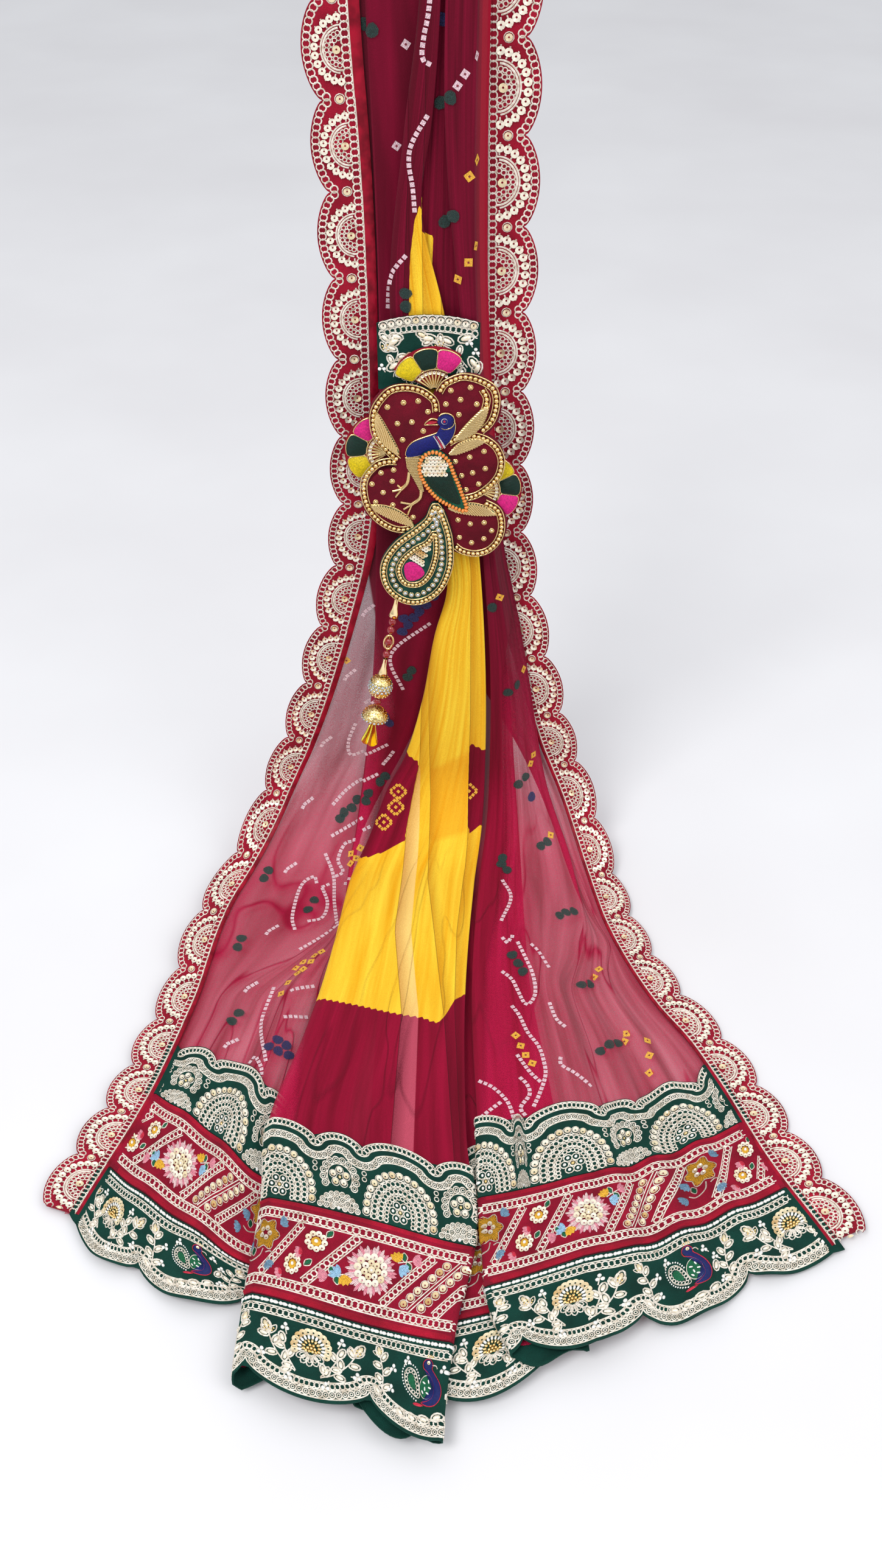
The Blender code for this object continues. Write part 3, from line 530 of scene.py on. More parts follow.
def georgette_look():
    """Sheer crepe in long fine wrinkles, dyed maroon, with the yellow middle, and painted shadows beside the
    pleats' edges.
    """
    look = Look("georgette", Roughness=0.8)
    run, ribbon, grain = look.field("run"), look.field("ribbon"), look.noise(2000, 1.0)
    cloth = look.node("CombineXYZ", X=look.field("fan"), Y=run).outputs["Vector"]
    wrinkle = look.streaks(cloth, 105, 6.5, 0.0, 3.0, 0.3)
    streak = look.span(wrinkle, 0.3, 0.7)

    # Creases of the cloth on the floor, where a slow drift crosses its middle value, and the pleats' edges.
    # Beside each edge, on the cloth to its right, a band dips in the bump and is darkened as a painted
    # shadow.
    drift = look.streaks(cloth, 24, 5, 0.12, 2.0, 0.5)
    thin = look.math("ABSOLUTE", look.less(drift, 0.5))
    gathered = look.times(look.span(thin, 0.0, 0.016, 1.0, 0.0), look.span(run, 0.62, 0.72))
    crease_dip_and_shadow = 0.0
    for k in range(len(CREASES)):
        gap = look.field("crease_%d" % k)
        beyond = look.times(look.span(gap, 0, 0.0004), look.span(gap, 0.0004, 0.009, 1, 0))
        crease_dip_and_shadow = look.most(crease_dip_and_shadow, beyond)

    # Shares of the dyes: yellow with a zigzag edge, pale and orange strips, and how thick the cloth lies
    tooth = look.math("PINGPONG", look.plus(look.field("width"), look.times(run, 0.5)), ZIGZAG_STEP)
    zigzag = look.times(look.less(tooth, ZIGZAG_STEP / 2), ZIGZAG_HEIGHT / ZIGZAG_STEP)
    yellow = look.span(look.plus(look.field("yellow"), zigzag), -0.0002, 0.0002)
    pale = look.times(look.span(look.field("pale"), 0, 0.0006), 0.75)
    under = look.times(look.span(look.field("under"), 0, 0.006), 0.55)
    thick = look.span(look.field("dense"), -0.002, 0.004)
    packed = look.span(run, 0.42, 0.66, 1.0, 0.0)

    maroon = look.mix(thick, look.mix(streak, MAROON, LIGHT_MAROON),
                      look.mix(streak, DEEP_MAROON, THICK_MAROON))
    maroon = look.mix(packed, maroon, look.mix(streak, GATHERED_MAROON, GATHERED_RED))
    maroon = look.mix(pale, maroon, PINK)
    gold = look.mix(pale, look.mix(under, look.mix(streak, YELLOW, LIGHT_YELLOW), ORANGE), CREAM)
    dyed = look.mix(yellow, maroon, gold)
    # Darker in the random grain, along the floor's creases, and in the painted shadows beside the pleats'
    # edges
    grain_and_painted_shade = look.plus(look.times(crease_dip_and_shadow, 0.5), look.span(grain, 0.35, 0.65, 0.0, 0.2))
    grain_and_painted_shade = look.plus(grain_and_painted_shade, look.times(gathered, look.less(0.3, look.times(yellow, 0.2))))
    dyed = look.mix(grain_and_painted_shade, dyed, look.mix(yellow, SHADE_AND_GRAIN_MAROON, SHADE_AND_GRAIN_YELLOW))
    red = look.most(look.span(ribbon, -0.0002, 0.0002), look.span(ribbon, -0.0025, -0.001, 0.0, 0.45))
    look.paint(Base_Color=look.mix(red, dyed, RIBBON_RED), Sheen_Weight=0.04, Sheen_Roughness=0.5,
               Specular_IOR_Level=0.12)

    cover = look.plus(look.span(wrinkle, 0.3, 0.7, 0.82, 0.56), look.times(gathered, 0.3))
    cover = look.plus(cover, look.span(grain, 0.3, 0.7, 0.08, -0.08))
    cover = look.plus(cover, look.span(run, 0.62, 0.74, 0.1, 0.0))
    closed = look.plus(look.times(packed, 0.065), 0.93)
    dense = look.most(look.times(yellow, 0.95), look.times(thick, closed))
    look.paint(Alpha=look.math("MINIMUM", look.most(cover, dense), 1.0))

    height = look.plus(look.less(look.times(wrinkle, 0.6), crease_dip_and_shadow), look.times(gathered, 0.35))
    height = look.times(height, look.span(ribbon, -0.009, -0.006, 1.0, 0.0))
    look.bump(look.plus(height, look.times(grain, 0.12)), 0.0022, 0.75)
    return look.material


def print_look(name, colour):
    """Dye on the crepe, worn by the same grain."""
    look = Look(name, Roughness=0.85)
    grain = look.noise(1900, 1.0)
    look.paint(Base_Color=look.mix(look.span(grain, 0.35, 0.7), colour, shaded(colour, 0.55)),
               Alpha=look.span(grain, 0.3, 0.7, 0.98, 0.75))
    return look.material


def velvet_look(name, colour, shine):
    """Brushed pile, light and dark in broad strokes, with a sheen of its own colour."""
    look = Look(name, Roughness=0.85, Sheen_Weight=0.12, Sheen_Roughness=0.4, Sheen_Tint=shine,
                Specular_IOR_Level=0.2)
    pile = look.noise(2600, 2.0)
    tone = look.mix(look.span(look.noise(60, 3.0), 0.3, 0.7), colour, shaded(colour, 1.9))
    look.paint(Base_Color=look.mix(look.span(pile, 0.35, 0.7, 0.0, 0.5), tone, shaded(colour, 0.35)))
    look.bump(pile, 0.0005, 0.8)
    return look.material


def satin_look(name, colour, ripple_highlight):
    """Smooth satin with soft ripples over a fine weave, lighter on the ripples' crests as a painted
    highlight.
    """
    look = Look(name, Roughness=0.42, Specular_IOR_Level=0.15)
    weave = look.noise(2400, 1.0, (1.0, 0.25, 0.25))
    soft = look.noise(130, 2.0)
    # Lighter where the ripples rise: a painted highlight on their crests
    look.paint(Base_Color=look.mix(look.span(soft, 0.35, 0.65), colour, ripple_highlight))
    look.bump(look.plus(look.times(weave, 0.1), soft), 0.0016, 0.6)
    return look.material


def metal_look(name, colour, dark, roughness, scale=2600, height=0.0003):
    """Metal thread or plate: a fine wound grain over gold or silver."""
    look = Look(name, Metallic=1.0)
    wound = look.noise(scale, 2.0)
    look.paint(Base_Color=look.mix(look.span(wound, 0.35, 0.65), dark, colour),
               Roughness=look.span(wound, 0.3, 0.7, roughness, roughness * 0.6))
    look.bump(wound, height, 0.7)
    return look.material


def thread_look(name, light, dark):
    """Metal cord: twisted turns along it, from the stitch field, between silver-gold and its shade, painted
    darker in the grooves between turns.
    """
    look = Look(name, Roughness=0.42, Metallic=0.12)
    twist = look.math("SINE", look.times(look.field("stitch"), 2 * math.pi / CORD_TWIST))
    shade = look.plus(look.times(twist, 0.12), look.noise(420, 2.0))
    # Darker in the grooves between the twist's turns: painted shade, over a random tone
    look.paint(Base_Color=look.mix(look.span(shade, 0.25, 0.6), dark, light))
    look.bump(twist, 0.0002, 0.6)
    return look.material


def sequin_look(name, light, deep):
    """Thin shiny discs, each of its own tone, from the stitch field."""
    look = Look(name, Metallic=0.45, Roughness=0.22, Coat_Weight=0.5)
    tone = look.math("FRACT", look.times(look.field("stitch"), 17.0))
    look.paint(Base_Color=look.mix(look.span(tone, 0.55, 1.0), light, deep))
    look.bump(look.noise(900, 1.0), 0.0002, 0.3)
    return look.material


def gloss_look(name, colour, roughness, coat=0.6, metallic=0.0):
    """Pearl, glass or cut stone under a clear coat."""
    look = Look(name, Roughness=roughness, Metallic=metallic, Coat_Weight=coat, Coat_Roughness=0.08)
    speck = look.span(look.noise(500, 2.0), 0.3, 0.7)
    look.paint(Base_Color=look.mix(speck, shaded(colour, 0.75), colour))
    return look.material


def floss_look(name, colour):
    """Satin stitch: fine parallel threads across a shape, from the stitch field, painted darker in the
    grooves between them as shade.
    """
    look = Look(name, Roughness=0.45, Specular_IOR_Level=0.25)
    thread = look.math("SINE", look.times(look.field("stitch"), 2 * math.pi / FLOSS_THREAD))
    strand_tone_and_gap_shade = look.plus(look.times(thread, 0.25), look.noise(900, 2.0))
    # Darker where the threads dip: painted shade between them, over a random tone
    look.paint(Base_Color=look.mix(look.span(strand_tone_and_gap_shade, 0.2, 0.75), shaded(colour, 0.42), colour))
    look.bump(thread, 0.0002, 0.5)
    return look.material


def floor_look():
    look = Look("floor", Roughness=0.9)
    soft = look.span(look.noise(3, 3.0), 0.3, 0.7)
    look.paint(Base_Color=look.mix(soft, (0.74, 0.73, 0.745), (0.79, 0.785, 0.80)))
    return look.material


# Embroidery: drawn flat in millimetres, then laid on a surface

ROUND = 10
CIRCLE = np.array([around(0, 0, 1, 2 * math.pi * k / ROUND) for k in range(ROUND)])
ARC_STEP = 2.0


class Work:
    """Thread, sequins and beads, gathered as one mesh for each kind."""

    def __init__(self):
        self.parts = {}

    def add(self, kind, points, quads, tris, stitch):
        self.parts.setdefault(kind, []).append((points, quads, tris, stitch))

    def merged(self, kind):
        first, groups = 0, ([], [], [], [])
        for points, quads, tris, stitch in self.parts[kind]:
            groups[0].append(points)
            groups[1].append(np.reshape(quads, (-1, 4)).astype(int) + first)
            groups[2].append(np.reshape(tris, (-1, 3)).astype(int) + first)
            groups[3].append(np.broadcast_to(stitch, len(points)))
            first += len(points)
        return tuple(np.concatenate(group) for group in groups)

    def laid(self, surface, other, mirrored=False):
        """Adds all of it to another work, laid on a surface that gives world points, and which to keep."""
        for kind in self.parts:
            points, quads, tris, stitch = self.merged(kind)
            world, keep = surface(points)
            quads, tris = quads[keep[quads].all(axis=1)], tris[keep[tris].all(axis=1)]
            if mirrored:
                quads, tris = quads[:, ::-1], tris[:, ::-1]
            other.add(kind, world, quads, tris, stitch)

    def build(self, prefix, looks):
        """The objects, one a kind, without points that no face uses."""
        made = []
        for kind in self.parts:
            points, quads, tris, stitch = self.merged(kind)
            used = np.unique(np.concatenate([quads.ravel(), tris.ravel()]))
            if not len(used):
                continue
            place = np.zeros(len(points), int)
            place[used] = np.arange(len(used))
            piece = add_object(prefix + "_" + kind, points[used], place[quads], place[tris], look=looks[kind])
            set_field(piece, "stitch", stitch[used])
            made.append(piece)
        return made


def line(start, end, step=2.5):
    """Even points from one place to another."""
    count = max(2, round(math.dist(start, end) / step) + 1)
    return np.linspace(start, end, count)


def arc(centre, radii, first, last):
    """Points along part of an ellipse, its angles in degrees from +x towards +y."""
    count = max(3, round(math.radians(abs(last - first)) * sum(radii) / 2 / ARC_STEP) + 1)
    angle = np.radians(np.linspace(first, last, count))
    return np.stack([centre[0] + radii[0] * np.cos(angle), centre[1] + radii[1] * np.sin(angle)], 1)


def sideways(ahead):
    """Directions square to others, to the side that +x has +y on."""
    ahead = ahead / np.maximum(np.linalg.norm(ahead, axis=1, keepdims=True), 1e-9)
    return np.stack([-ahead[:, 1], ahead[:, 0]], 1)


def beside(path, distance):
    """A path shifted sideways."""
    return path + distance * sideways(np.gradient(np.asarray(path, float), axis=0))


def shrunk(outline, distance):
    """A closed outline moved inwards, whichever way round it runs."""
    outline = np.asarray(outline, float)
    x, y = outline.T
    way = np.sign(np.sum(x * np.roll(y, -1) - np.roll(x, -1) * y))
    return outline + way * distance * sideways(np.roll(outline, -1, 0) - np.roll(outline, 1, 0))


def inset(outline, distance, side):
    """A repeating outline shrunk by a distance, round at its notches; side is the cloth's, 1 for larger y."""
    x, y = outline.T
    period = x[-1] - x[0]
    far_x = np.concatenate([x - period, x, x + period])
    far_y = np.tile(y, 3)
    off = distance ** 2 - (x[:, None] - far_x) ** 2
    reach = np.where(off >= 0, side * far_y + np.sqrt(np.maximum(off, 0)), -np.inf)
    return np.stack([x, side * reach.max(axis=1)], 1)


def spaced(path, pitch, closed=False):
    """Even places along a path, and the path's direction at each."""
    path = np.asarray(path, float)
    if closed:
        path = np.concatenate([path, path[:1]])
    length = np.concatenate([[0], np.cumsum(np.linalg.norm(np.diff(path, axis=0), axis=1))])
    count = max(1, round(length[-1] / pitch))
    where = (np.arange(count) + 0.5) * length[-1] / count
    places = np.stack([np.interp(where, length, path[:, 0]), np.interp(where, length, path[:, 1])], 1)
    i = np.clip(np.searchsorted(length, where), 1, len(path) - 1)
    ahead = path[i] - path[i - 1]
    return [(x, y, math.atan2(dy, dx)) for (x, y), (dx, dy) in zip(places, ahead)]


def smooth(points, steps=6, closed=False):
    """A round curve through a few places."""
    points = np.asarray(points, float)
    count = len(points)
    if closed:
        points = np.concatenate([points[-1:], points, points[:2]])
    else:
        points = np.concatenate([2 * points[:1] - points[1:2], points, 2 * points[-1:] - points[-2:-1]])
    curve = []
    for k in range(count if closed else count - 1):
        a, b, c, d = points[k:k + 4]
        for t in np.arange(steps) / steps:
            curve.append(0.5 * (2 * b + (c - a) * t + (2 * a - 5 * b + 4 * c - d) * t ** 2
                                + (3 * b - a - 3 * c + d) * t ** 3))
    if not closed:
        curve.append(points[-2])
    return np.array(curve)


PETAL = np.array([(0, 0), (0.3, 0.38), (0.6, 0.5), (0.85, 0.35), (1, 0), (0.85, -0.35), (0.6, -0.5),
                  (0.3, -0.38)])


class Pen:
    """Draws at a place of a work, turned and sized."""

    def __init__(self, work, x=0.0, y=0.0, turn=0.0, size=1.0, z=0.0):
        self.work, self.x, self.y, self.turn, self.size, self.z = work, x, y, turn, size, z

    def at(self, x, y, turn=0.0, size=1.0, up=0.0):
        c, s = math.cos(self.turn) * self.size, math.sin(self.turn) * self.size
        return Pen(self.work, self.x + x * c - y * s, self.y + x * s + y * c, self.turn + turn,
                   self.size * size, self.z + up)

    def put(self, kind, points, quads=(), tris=(), stitch=0.0):
        points = np.asarray(points, float) * self.size
        c, s = math.cos(self.turn), math.sin(self.turn)
        x, y = points[:, 0], points[:, 1]
        placed = np.stack([self.x + x * c - y * s, self.y + x * s + y * c, self.z + points[:, 2]], 1)
        self.work.add(kind, placed, quads, tris, stitch)

    def cord(self, kind, path, width=0.8, height=0.5, closed=False, lift=0.0):
        """A rounded ridge along a path."""
        path = np.asarray(path, float)
        ahead = np.roll(path, -1, 0) - np.roll(path, 1, 0) if closed else np.gradient(path, axis=0)
        side = sideways(ahead) * width / 2
        count = len(path)
        flat = np.concatenate([path - side, path, path + side])
        high = np.repeat([lift, lift + height, lift], count)
        run = np.concatenate([[0], np.cumsum(np.linalg.norm(np.diff(path, axis=0), axis=1))]) * MM
        self.put(kind, np.column_stack([flat, high]), belts(count, 3, closed), stitch=np.tile(run, 3))

    def ring(self, x, y, radius, kind="cord", wire=0.8, stretch=1.0, turn=0.0):
        """A ring of cord, a long one stretched along its turn."""
        self.at(x, y, turn).cord(kind, CIRCLE * (radius * stretch, radius), wire, 0.5, closed=True)

    def chain(self, path, radius, pitch, wire=0.8):
        for x, y, turn in spaced(path, pitch):
            self.ring(x, y, radius, wire=wire, turn=turn)

    def ringed(self, path, pitch, radius, inner):
        """Rings within rings along a path."""
        for x, y, _ in spaced(path, pitch):
            self.ring(x, y, radius)
            self.ring(x, y, inner, wire=0.6)

    def sequin(self, x, y, radius, kind="sequin", lift=0.15):
        """A cupped disc with a hole."""
        rim = np.column_stack([CIRCLE * radius, np.full(ROUND, lift + 0.5)])
        hole = np.column_stack([CIRCLE * radius * 0.25, np.full(ROUND, lift)])
        self.at(x, y).put(kind, np.concatenate([rim, hole]), belts(ROUND, 2), stitch=(x * 7.3 + y * 3.1) % 1)

    def bead(self, x, y, radius, kind="pearl", lift=0.0, stretch=1.0, turn=0.0, tall=1.0):
        """The seen half of a bead, a long one stretched along its turn."""
        circle = CIRCLE * (stretch, 1)
        low = np.column_stack([circle * radius, np.full(ROUND, lift)])
        middle = np.column_stack([circle * radius * 0.78, np.full(ROUND, lift + radius * 0.62 * tall)])
        points = np.concatenate([low, middle, [[0, 0, lift + radius * tall]]])
        tris = cone(ROUND, ROUND, 2 * ROUND)
        self.at(x, y, turn).put(kind, points, belts(ROUND, 2), tris, (x * 5.7 + y * 9.1) % 1)

    def patch(self, kind, outline, height=0.6, edge=0.15, thread=0.0):
        """A shape filled with satin stitch: raised in the middle, its threads at an angle."""
        outline = np.asarray(outline, float)
        count = len(outline)
        centre = outline.mean(axis=0)
        inner = centre + (outline - centre) * 0.6
        points = np.concatenate([np.column_stack([outline, np.full(count, edge)]),
                                 np.column_stack([inner, np.full(count, height * 0.85)]),
                                 [[*centre, height]]])
        stitch = (points[:, 1] * math.cos(thread) - points[:, 0] * math.sin(thread)) * MM * self.size
        self.put(kind, points, belts(count, 2), cone(count, count, 2 * count), stitch)

    def plate(self, kind, outline, low, high, rim=1.2, centre=None):
        """A closed padded shape between two heights, its upper rim rounded."""
        outline = np.asarray(outline, float)
        count = len(outline)
        middle = outline.mean(axis=0) if centre is None else centre
        rings = [(outline, low), (outline, high - rim), (shrunk(outline, rim * 0.3), high - rim * 0.35),
                 (shrunk(outline, rim), high)]
        points = [np.column_stack([ring, np.full(count, z)]) for ring, z in rings]
        points += [[[*middle, low]], [[*middle, high]]]
        back, top = len(rings) * count, (len(rings) - 1) * count
        tris = np.concatenate([cone(count, 0, back)[:, [1, 0, 2]], cone(count, top, back + 1)])
        self.put(kind, np.concatenate(points), belts(count, len(rings)), tris)

    def petal(self, kind, x, y, length, width, turn, height=0.6):
        """A leaf or petal from its base, threads along it."""
        self.at(x, y, turn).patch(kind, PETAL * (length, width), height)


# The ground cloth, its print, and the bands of the border

# The yellow middle, as (run, across) in cm: its lower edge by station, its sides above the brooch
YELLOW_BOTTOM = [(2, 81.8), (2.28, 82.5), (2.5, 83.1), (2.72, 83.5), (2.86, 83.6), (2.93, 82.0), (3, 81.3)]
YELLOW_TOP = 16.2
YELLOW_LEFT = [(16.2, -1.1), (17.3, -1.5), (19.5, -1.8), (23.5, -1.95), (28, -3.5), (34, -9)]
YELLOW_RIGHT = [(16.2, -1.1), (18.5, -1.1), (18.6, -0.1), (20.4, 0.7), (21.9, 0.4), (23.5, 0.2), (28, 2),
                (34, 9)]
# Edges of the pleats laid on the middle, each a fold on the left over cloth on the right: (run, across)
CREASES = [
    [(0, -1.6), (15.5, -1.9), (23, -2.3), (41, -1.1), (49, -1.3), (57.3, -1.6), (64.7, -2.6), (70.7, -2.9),
     (76, -3.3), (83, -2.7), (95, -3.2)],
    [(0, -0.6), (12, -0.9), (16.3, -1.1), (23, -1.1), (41, -0.9), (53.6, -0.9), (61.4, -0.8), (70.7, -1.0),
     (75.1, -0.6), (83.5, 0.2), (95, 0.8)],
    [(16, 0), (23, 0), (41, 2.0), (53.6, 2.1), (65.4, 2.0), (68.9, 1.8), (76, 1.1), (82.6, 0.9), (95, 1.2)],
]
# Maroon patches on the yellow, (across, run): the upper and the lower edge of the left and the right one
LEFT_PATCH = ([(-3.6, 56.2), (-2.6, 56.6), (-1.6, 57.4)], [(-5.4, 67.9), (-4.4, 67.4), (-2.8, 66.2)])
RIGHT_PATCH = ([(2.0, 55.6), (3.2, 56.4)], [(2.0, 65.4), (3.0, 64.4)])
# A strip with less cloth behind it: (run, across) of its right side, and where it starts
PALE_RIGHT = [(57, -1.5), (64.7, -1.6), (68, -1.7), (76, -2.1), (83, -1.5), (95, -1.7)]
PALE_START = 57
# An orange strip between two pleats: the runs of its slanted ends at the middle
UNDER_START, UNDER_END = 57.4, 66.2
# Where the pleats lie thick beside the middle: (run, across) of its left and right side. Above it, all do
DENSE_LEFT = [(0, -6), (36, -6), (45, -5.0), (53.6, -3.6), (58, -4.5), (62.5, -5.1), (69.5, -6.6),
              (78, -8.0), (84, -9.4)]
DENSE_RIGHT = [(0, 5), (36, 6), (45, 5.2), (50, 4.6), (56, 4.8), (66, 5.1), (73, 4.4), (79, 3.3), (96, 2.6)]
DENSE_END = 41
# The red ribbon of the right lace, on the cloth's last fold above the brooch: its width and its end in cm
RIBBON_WIDTH, RIBBON_END = 0.5, 39
# The zigzag along the yellow's edge
ZIGZAG_STEP = 2.6 * MM
ZIGZAG_HEIGHT = 1.7 * MM


def ground_rows():
    """Runs of the ground cloth's rows, one for each fine column: even rows, then rows that follow the hem."""
    start, hem = EVEN_END, border_run(HEM, FINE_STATIONS) - EDGE
    rows = [np.full(len(COLUMNS), run) for run in np.arange(0, start, ROW_STEP)]
    return np.array(rows + [start + (hem - start) * share for share in np.linspace(0, 1, HEM_ROWS)])


def set_print_fields(made, across, run, station):
    """Fields, in metres, of how far inside the yellow, the strips and the pleats each place is.

    The distance to a side counts several times over, so that the nearer of upper and lower edge decides.
    """
    def place(table, where):
        return np.interp(where, *np.array(table).T)

    across_cm, run_cm = across / CM, run / CM
    panel = (station >= 2) & (station <= 4.4)
    inside = np.minimum(border_run(YELLOW_BOTTOM, station) / CM - run_cm, run_cm - YELLOW_TOP)
    sides = np.minimum(across_cm - place(YELLOW_LEFT, run_cm), place(YELLOW_RIGHT, run_cm) - across_cm)
    inside = np.minimum(inside, sides * 10)
    gaps = [across_cm - place(crease, run_cm) for crease in CREASES]
    for (upper, lower), fold in ((LEFT_PATCH, -gaps[0]), (RIGHT_PATCH, gaps[2])):
        patch = np.minimum(run_cm - place(upper, across_cm), place(lower, across_cm) - run_cm)
        inside = np.minimum(inside, -np.minimum(patch, fold * 10))
    under = np.minimum(run_cm - UNDER_START + 0.6 * across_cm, UNDER_END - 0.4 * across_cm - run_cm)
    under = np.minimum(np.minimum(gaps[1], -gaps[2]) * 8, under)
    pale = np.minimum(np.minimum(gaps[0], place(PALE_RIGHT, run_cm) - across_cm), run_cm - PALE_START)
    for name, value in (("yellow", inside), ("under", under), ("pale", pale)):
        set_field(made, name, np.where(panel, value, -1) * CM)
    for k, gap in enumerate(gaps):
        set_field(made, "crease_%d" % k, np.where((station >= 2) & (station <= 3), gap, 1) * CM)
    dense = np.minimum(across_cm - place(DENSE_LEFT, run_cm), place(DENSE_RIGHT, run_cm) - across_cm)
    set_field(made, "dense", np.maximum(dense, DENSE_END - run_cm) * CM)
    ribbon = across_cm - follow(FOLDS["shown_right"], run) / CM + RIBBON_WIDTH
    set_field(made, "ribbon", np.minimum(ribbon, RIBBON_END - run_cm) * CM)


def build_ground(look):
    rows = ground_rows()
    grid = cloth_at(np.broadcast_to(COLUMNS, rows.shape), rows)
    made = add_object("ground", grid.reshape(-1, 3), grid_quads(*rows.shape), look=look)
    set_print_fields(made, grid[..., 0] + CENTRE, rows, np.broadcast_to(FINE_STATIONS, rows.shape))
    steps = np.linalg.norm(np.diff(grid, axis=1), axis=2)
    set_field(made, "width", np.concatenate([np.zeros((len(rows), 1)), np.cumsum(steps, axis=1)], axis=1))
    set_field(made, "run", rows)
    set_field(made, "fan", np.broadcast_to(FINE_DISTANCES, rows.shape))
    return made


# The print: rows of small squares, round dots and eyed squares, at (across, run) in cm as seen from the front

DOTTED = [
    [(-6.3, 55.0), (-6.9, 56.7), (-6.8, 58.0), (-5.7, 57.6), (-3.9, 56.5)], [(-3.5, 57.1), (-4.4, 58.6)],
    [(-4.7, 59.5), (-6.9, 61.0), (-8.3, 62.6)], [(-5.9, 63.6), (-8.4, 65.2)],
    [(-5.3, 64.4), (-6.0, 64.8)], [(-6.4, 65.6), (-7.3, 65.8), (-7.8, 67.2), (-7.4, 68.3), (-8.0, 68.8)],
    [(-6.7, 69.6), (-7.3, 69.5)], [(-8.8, 66.6), (-8.1, 68.7), (-7.9, 71.5), (-7.5, 74.3)],
    [(-8.3, 69.5), (-9.0, 69.9)],
    [(-9.3, 69.5), (-9.6, 68.8), (-10.5, 69.8), (-10.9, 72.9), (-10.6, 74.4)],
    [(-8.9, 69.9), (-8.4, 71.6), (-8.7, 73.1), (-9.8, 73.5)], [(-7.6, 74.1), (-8.8, 75.2), (-10.2, 76.3)],
    [(-8.8, 79.8), (-10.5, 80.6)], [(-9.1, 82.4), (-10.8, 82.9)],
    [(-11.7, 79.6), (-12.3, 83.0), (-11.6, 86.8)],
    [(-12.4, 86.0), (-13.3, 87.6), (-12.6, 89.2), (-11.8, 87.8), (-12.3, 86.2)],
    [(-0.7, 45.6), (-3.1, 47.7), (-3.6, 49.2), (-2.7, 51.5)], [(-4.6, 52.4), (-5.6, 53.2)],
    [(4.5, 70.7), (5.1, 72.6), (4.3, 75.0)], [(4.3, 76.4), (4.7, 76.9), (5.0, 76.4), (5.2, 76.5)],
    [(4.2, 79.3), (4.9, 80.0), (5.3, 81.0), (5.7, 82.1), (6.1, 82.1), (6.5, 81.2), (6.4, 79.7),
     (6.0, 78.4), (5.4, 76.8)], [(6.3, 77.0), (6.9, 77.6), (7.6, 78.9)],
    [(7.4, 82.0), (7.8, 83.5), (8.4, 84.3)],
    [(4.8, 82.3), (5.3, 83.2), (5.8, 84.7), (6.5, 86.0), (6.8, 87.5), (6.8, 88.5), (6.4, 89.8),
     (5.9, 91.0)], [(5.0, 86.6), (5.8, 88.1), (6.5, 89.0)],
    [(5.1, 88.5), (5.6, 89.2), (5.7, 90.0), (5.1, 91.0), (5.4, 91.7)],
    [(7.9, 86.8), (7.9, 87.5), (8.7, 88.1), (9.8, 89.2)],
    [(2.4, 88.8), (3.4, 89.4), (4.3, 90.6), (4.7, 92.2)], [(3.9, 90.5), (3.1, 91.2), (2.5, 91.8)],
    [(-0.2, 1.0), (-0.6, 6.0), (-0.9, 7.6), (-1.0, 8.7), (-0.5, 9.1)],
    [(-0.7, 11.6), (-1.6, 13.1), (-1.8, 14.2), (-1.6, 15.6), (-1.5, 17.0)],
    [(-2.0, 19.4), (-2.8, 20.4), (-3.1, 21.7), (-3.2, 23.1)],
]
SHORT_ROWS = [(-5.4, 45.2), (-6.9, 50.7), (-8.9, 56.8), (-10.5, 62.5), (-11.7, 68.1), (-12.6, 74.5),
              (-13.6, 80.0), (-14.5, 84.9)]
GREEN_DOTS = [(-4.2, 59.7), (-4.6, 60.3), (-5.5, 61.4), (-5.7, 62.1), (-6.4, 62.1), (-6.8, 62.8),
              (-7.4, 63.2), (-7.7, 63.7), (-9.4, 71.3), (-9.8, 72.3), (-13.0, 68.3), (-13.3, 69.1),
              (-14.4, 75.3), (-14.6, 76.1), (-13.9, 82.2), (-14.3, 83.0), (-2.1, 49.7), (-2.4, 50.3),
              (3.5, 43.8), (4.8, 51.0), (5.4, 50.6), (5.8, 60.0), (6.3, 59.4), (4.6, 68.0), (4.5, 68.7),
              (4.9, 69.5), (7.5, 66.4), (8.0, 65.9), (8.6, 73.7), (9.1, 73.2), (9.7, 72.9), (5.0, 78.0),
              (5.4, 78.7), (5.7, 79.4), (9.8, 80.0), (10.4, 79.5), (10.7, 85.7), (11.3, 85.3),
              (11.9, 84.9), (-12.5, 87.6), (-3.7, 7.6), (-4.1, 7.4), (0.5, 10.7), (0.0, 11.1),
              (0.7, 17.1), (0.2, 17.6), (-2.1, 21.7), (-2.1, 22.5), (-3.5, 3.0), (1.6, 2.6)]
NAVY_DOTS = [(-2.7, 46.4), (-2.3, 45.8), (-2.6, 45.3), (-1.9, 45.2), (-1.5, 44.7), (-1.7, 44.2),
             (-1.0, 44.1), (-0.5, 43.4), (-4.1, 53.9), (-4.6, 54.3), (-3.8, 54.5), (-10.4, 85.2),
             (-11.0, 84.9), (-10.9, 85.8), (-10.2, 85.9), (-11.5, 85.5), (6.8, 61.6), (0.1, 6.9)]
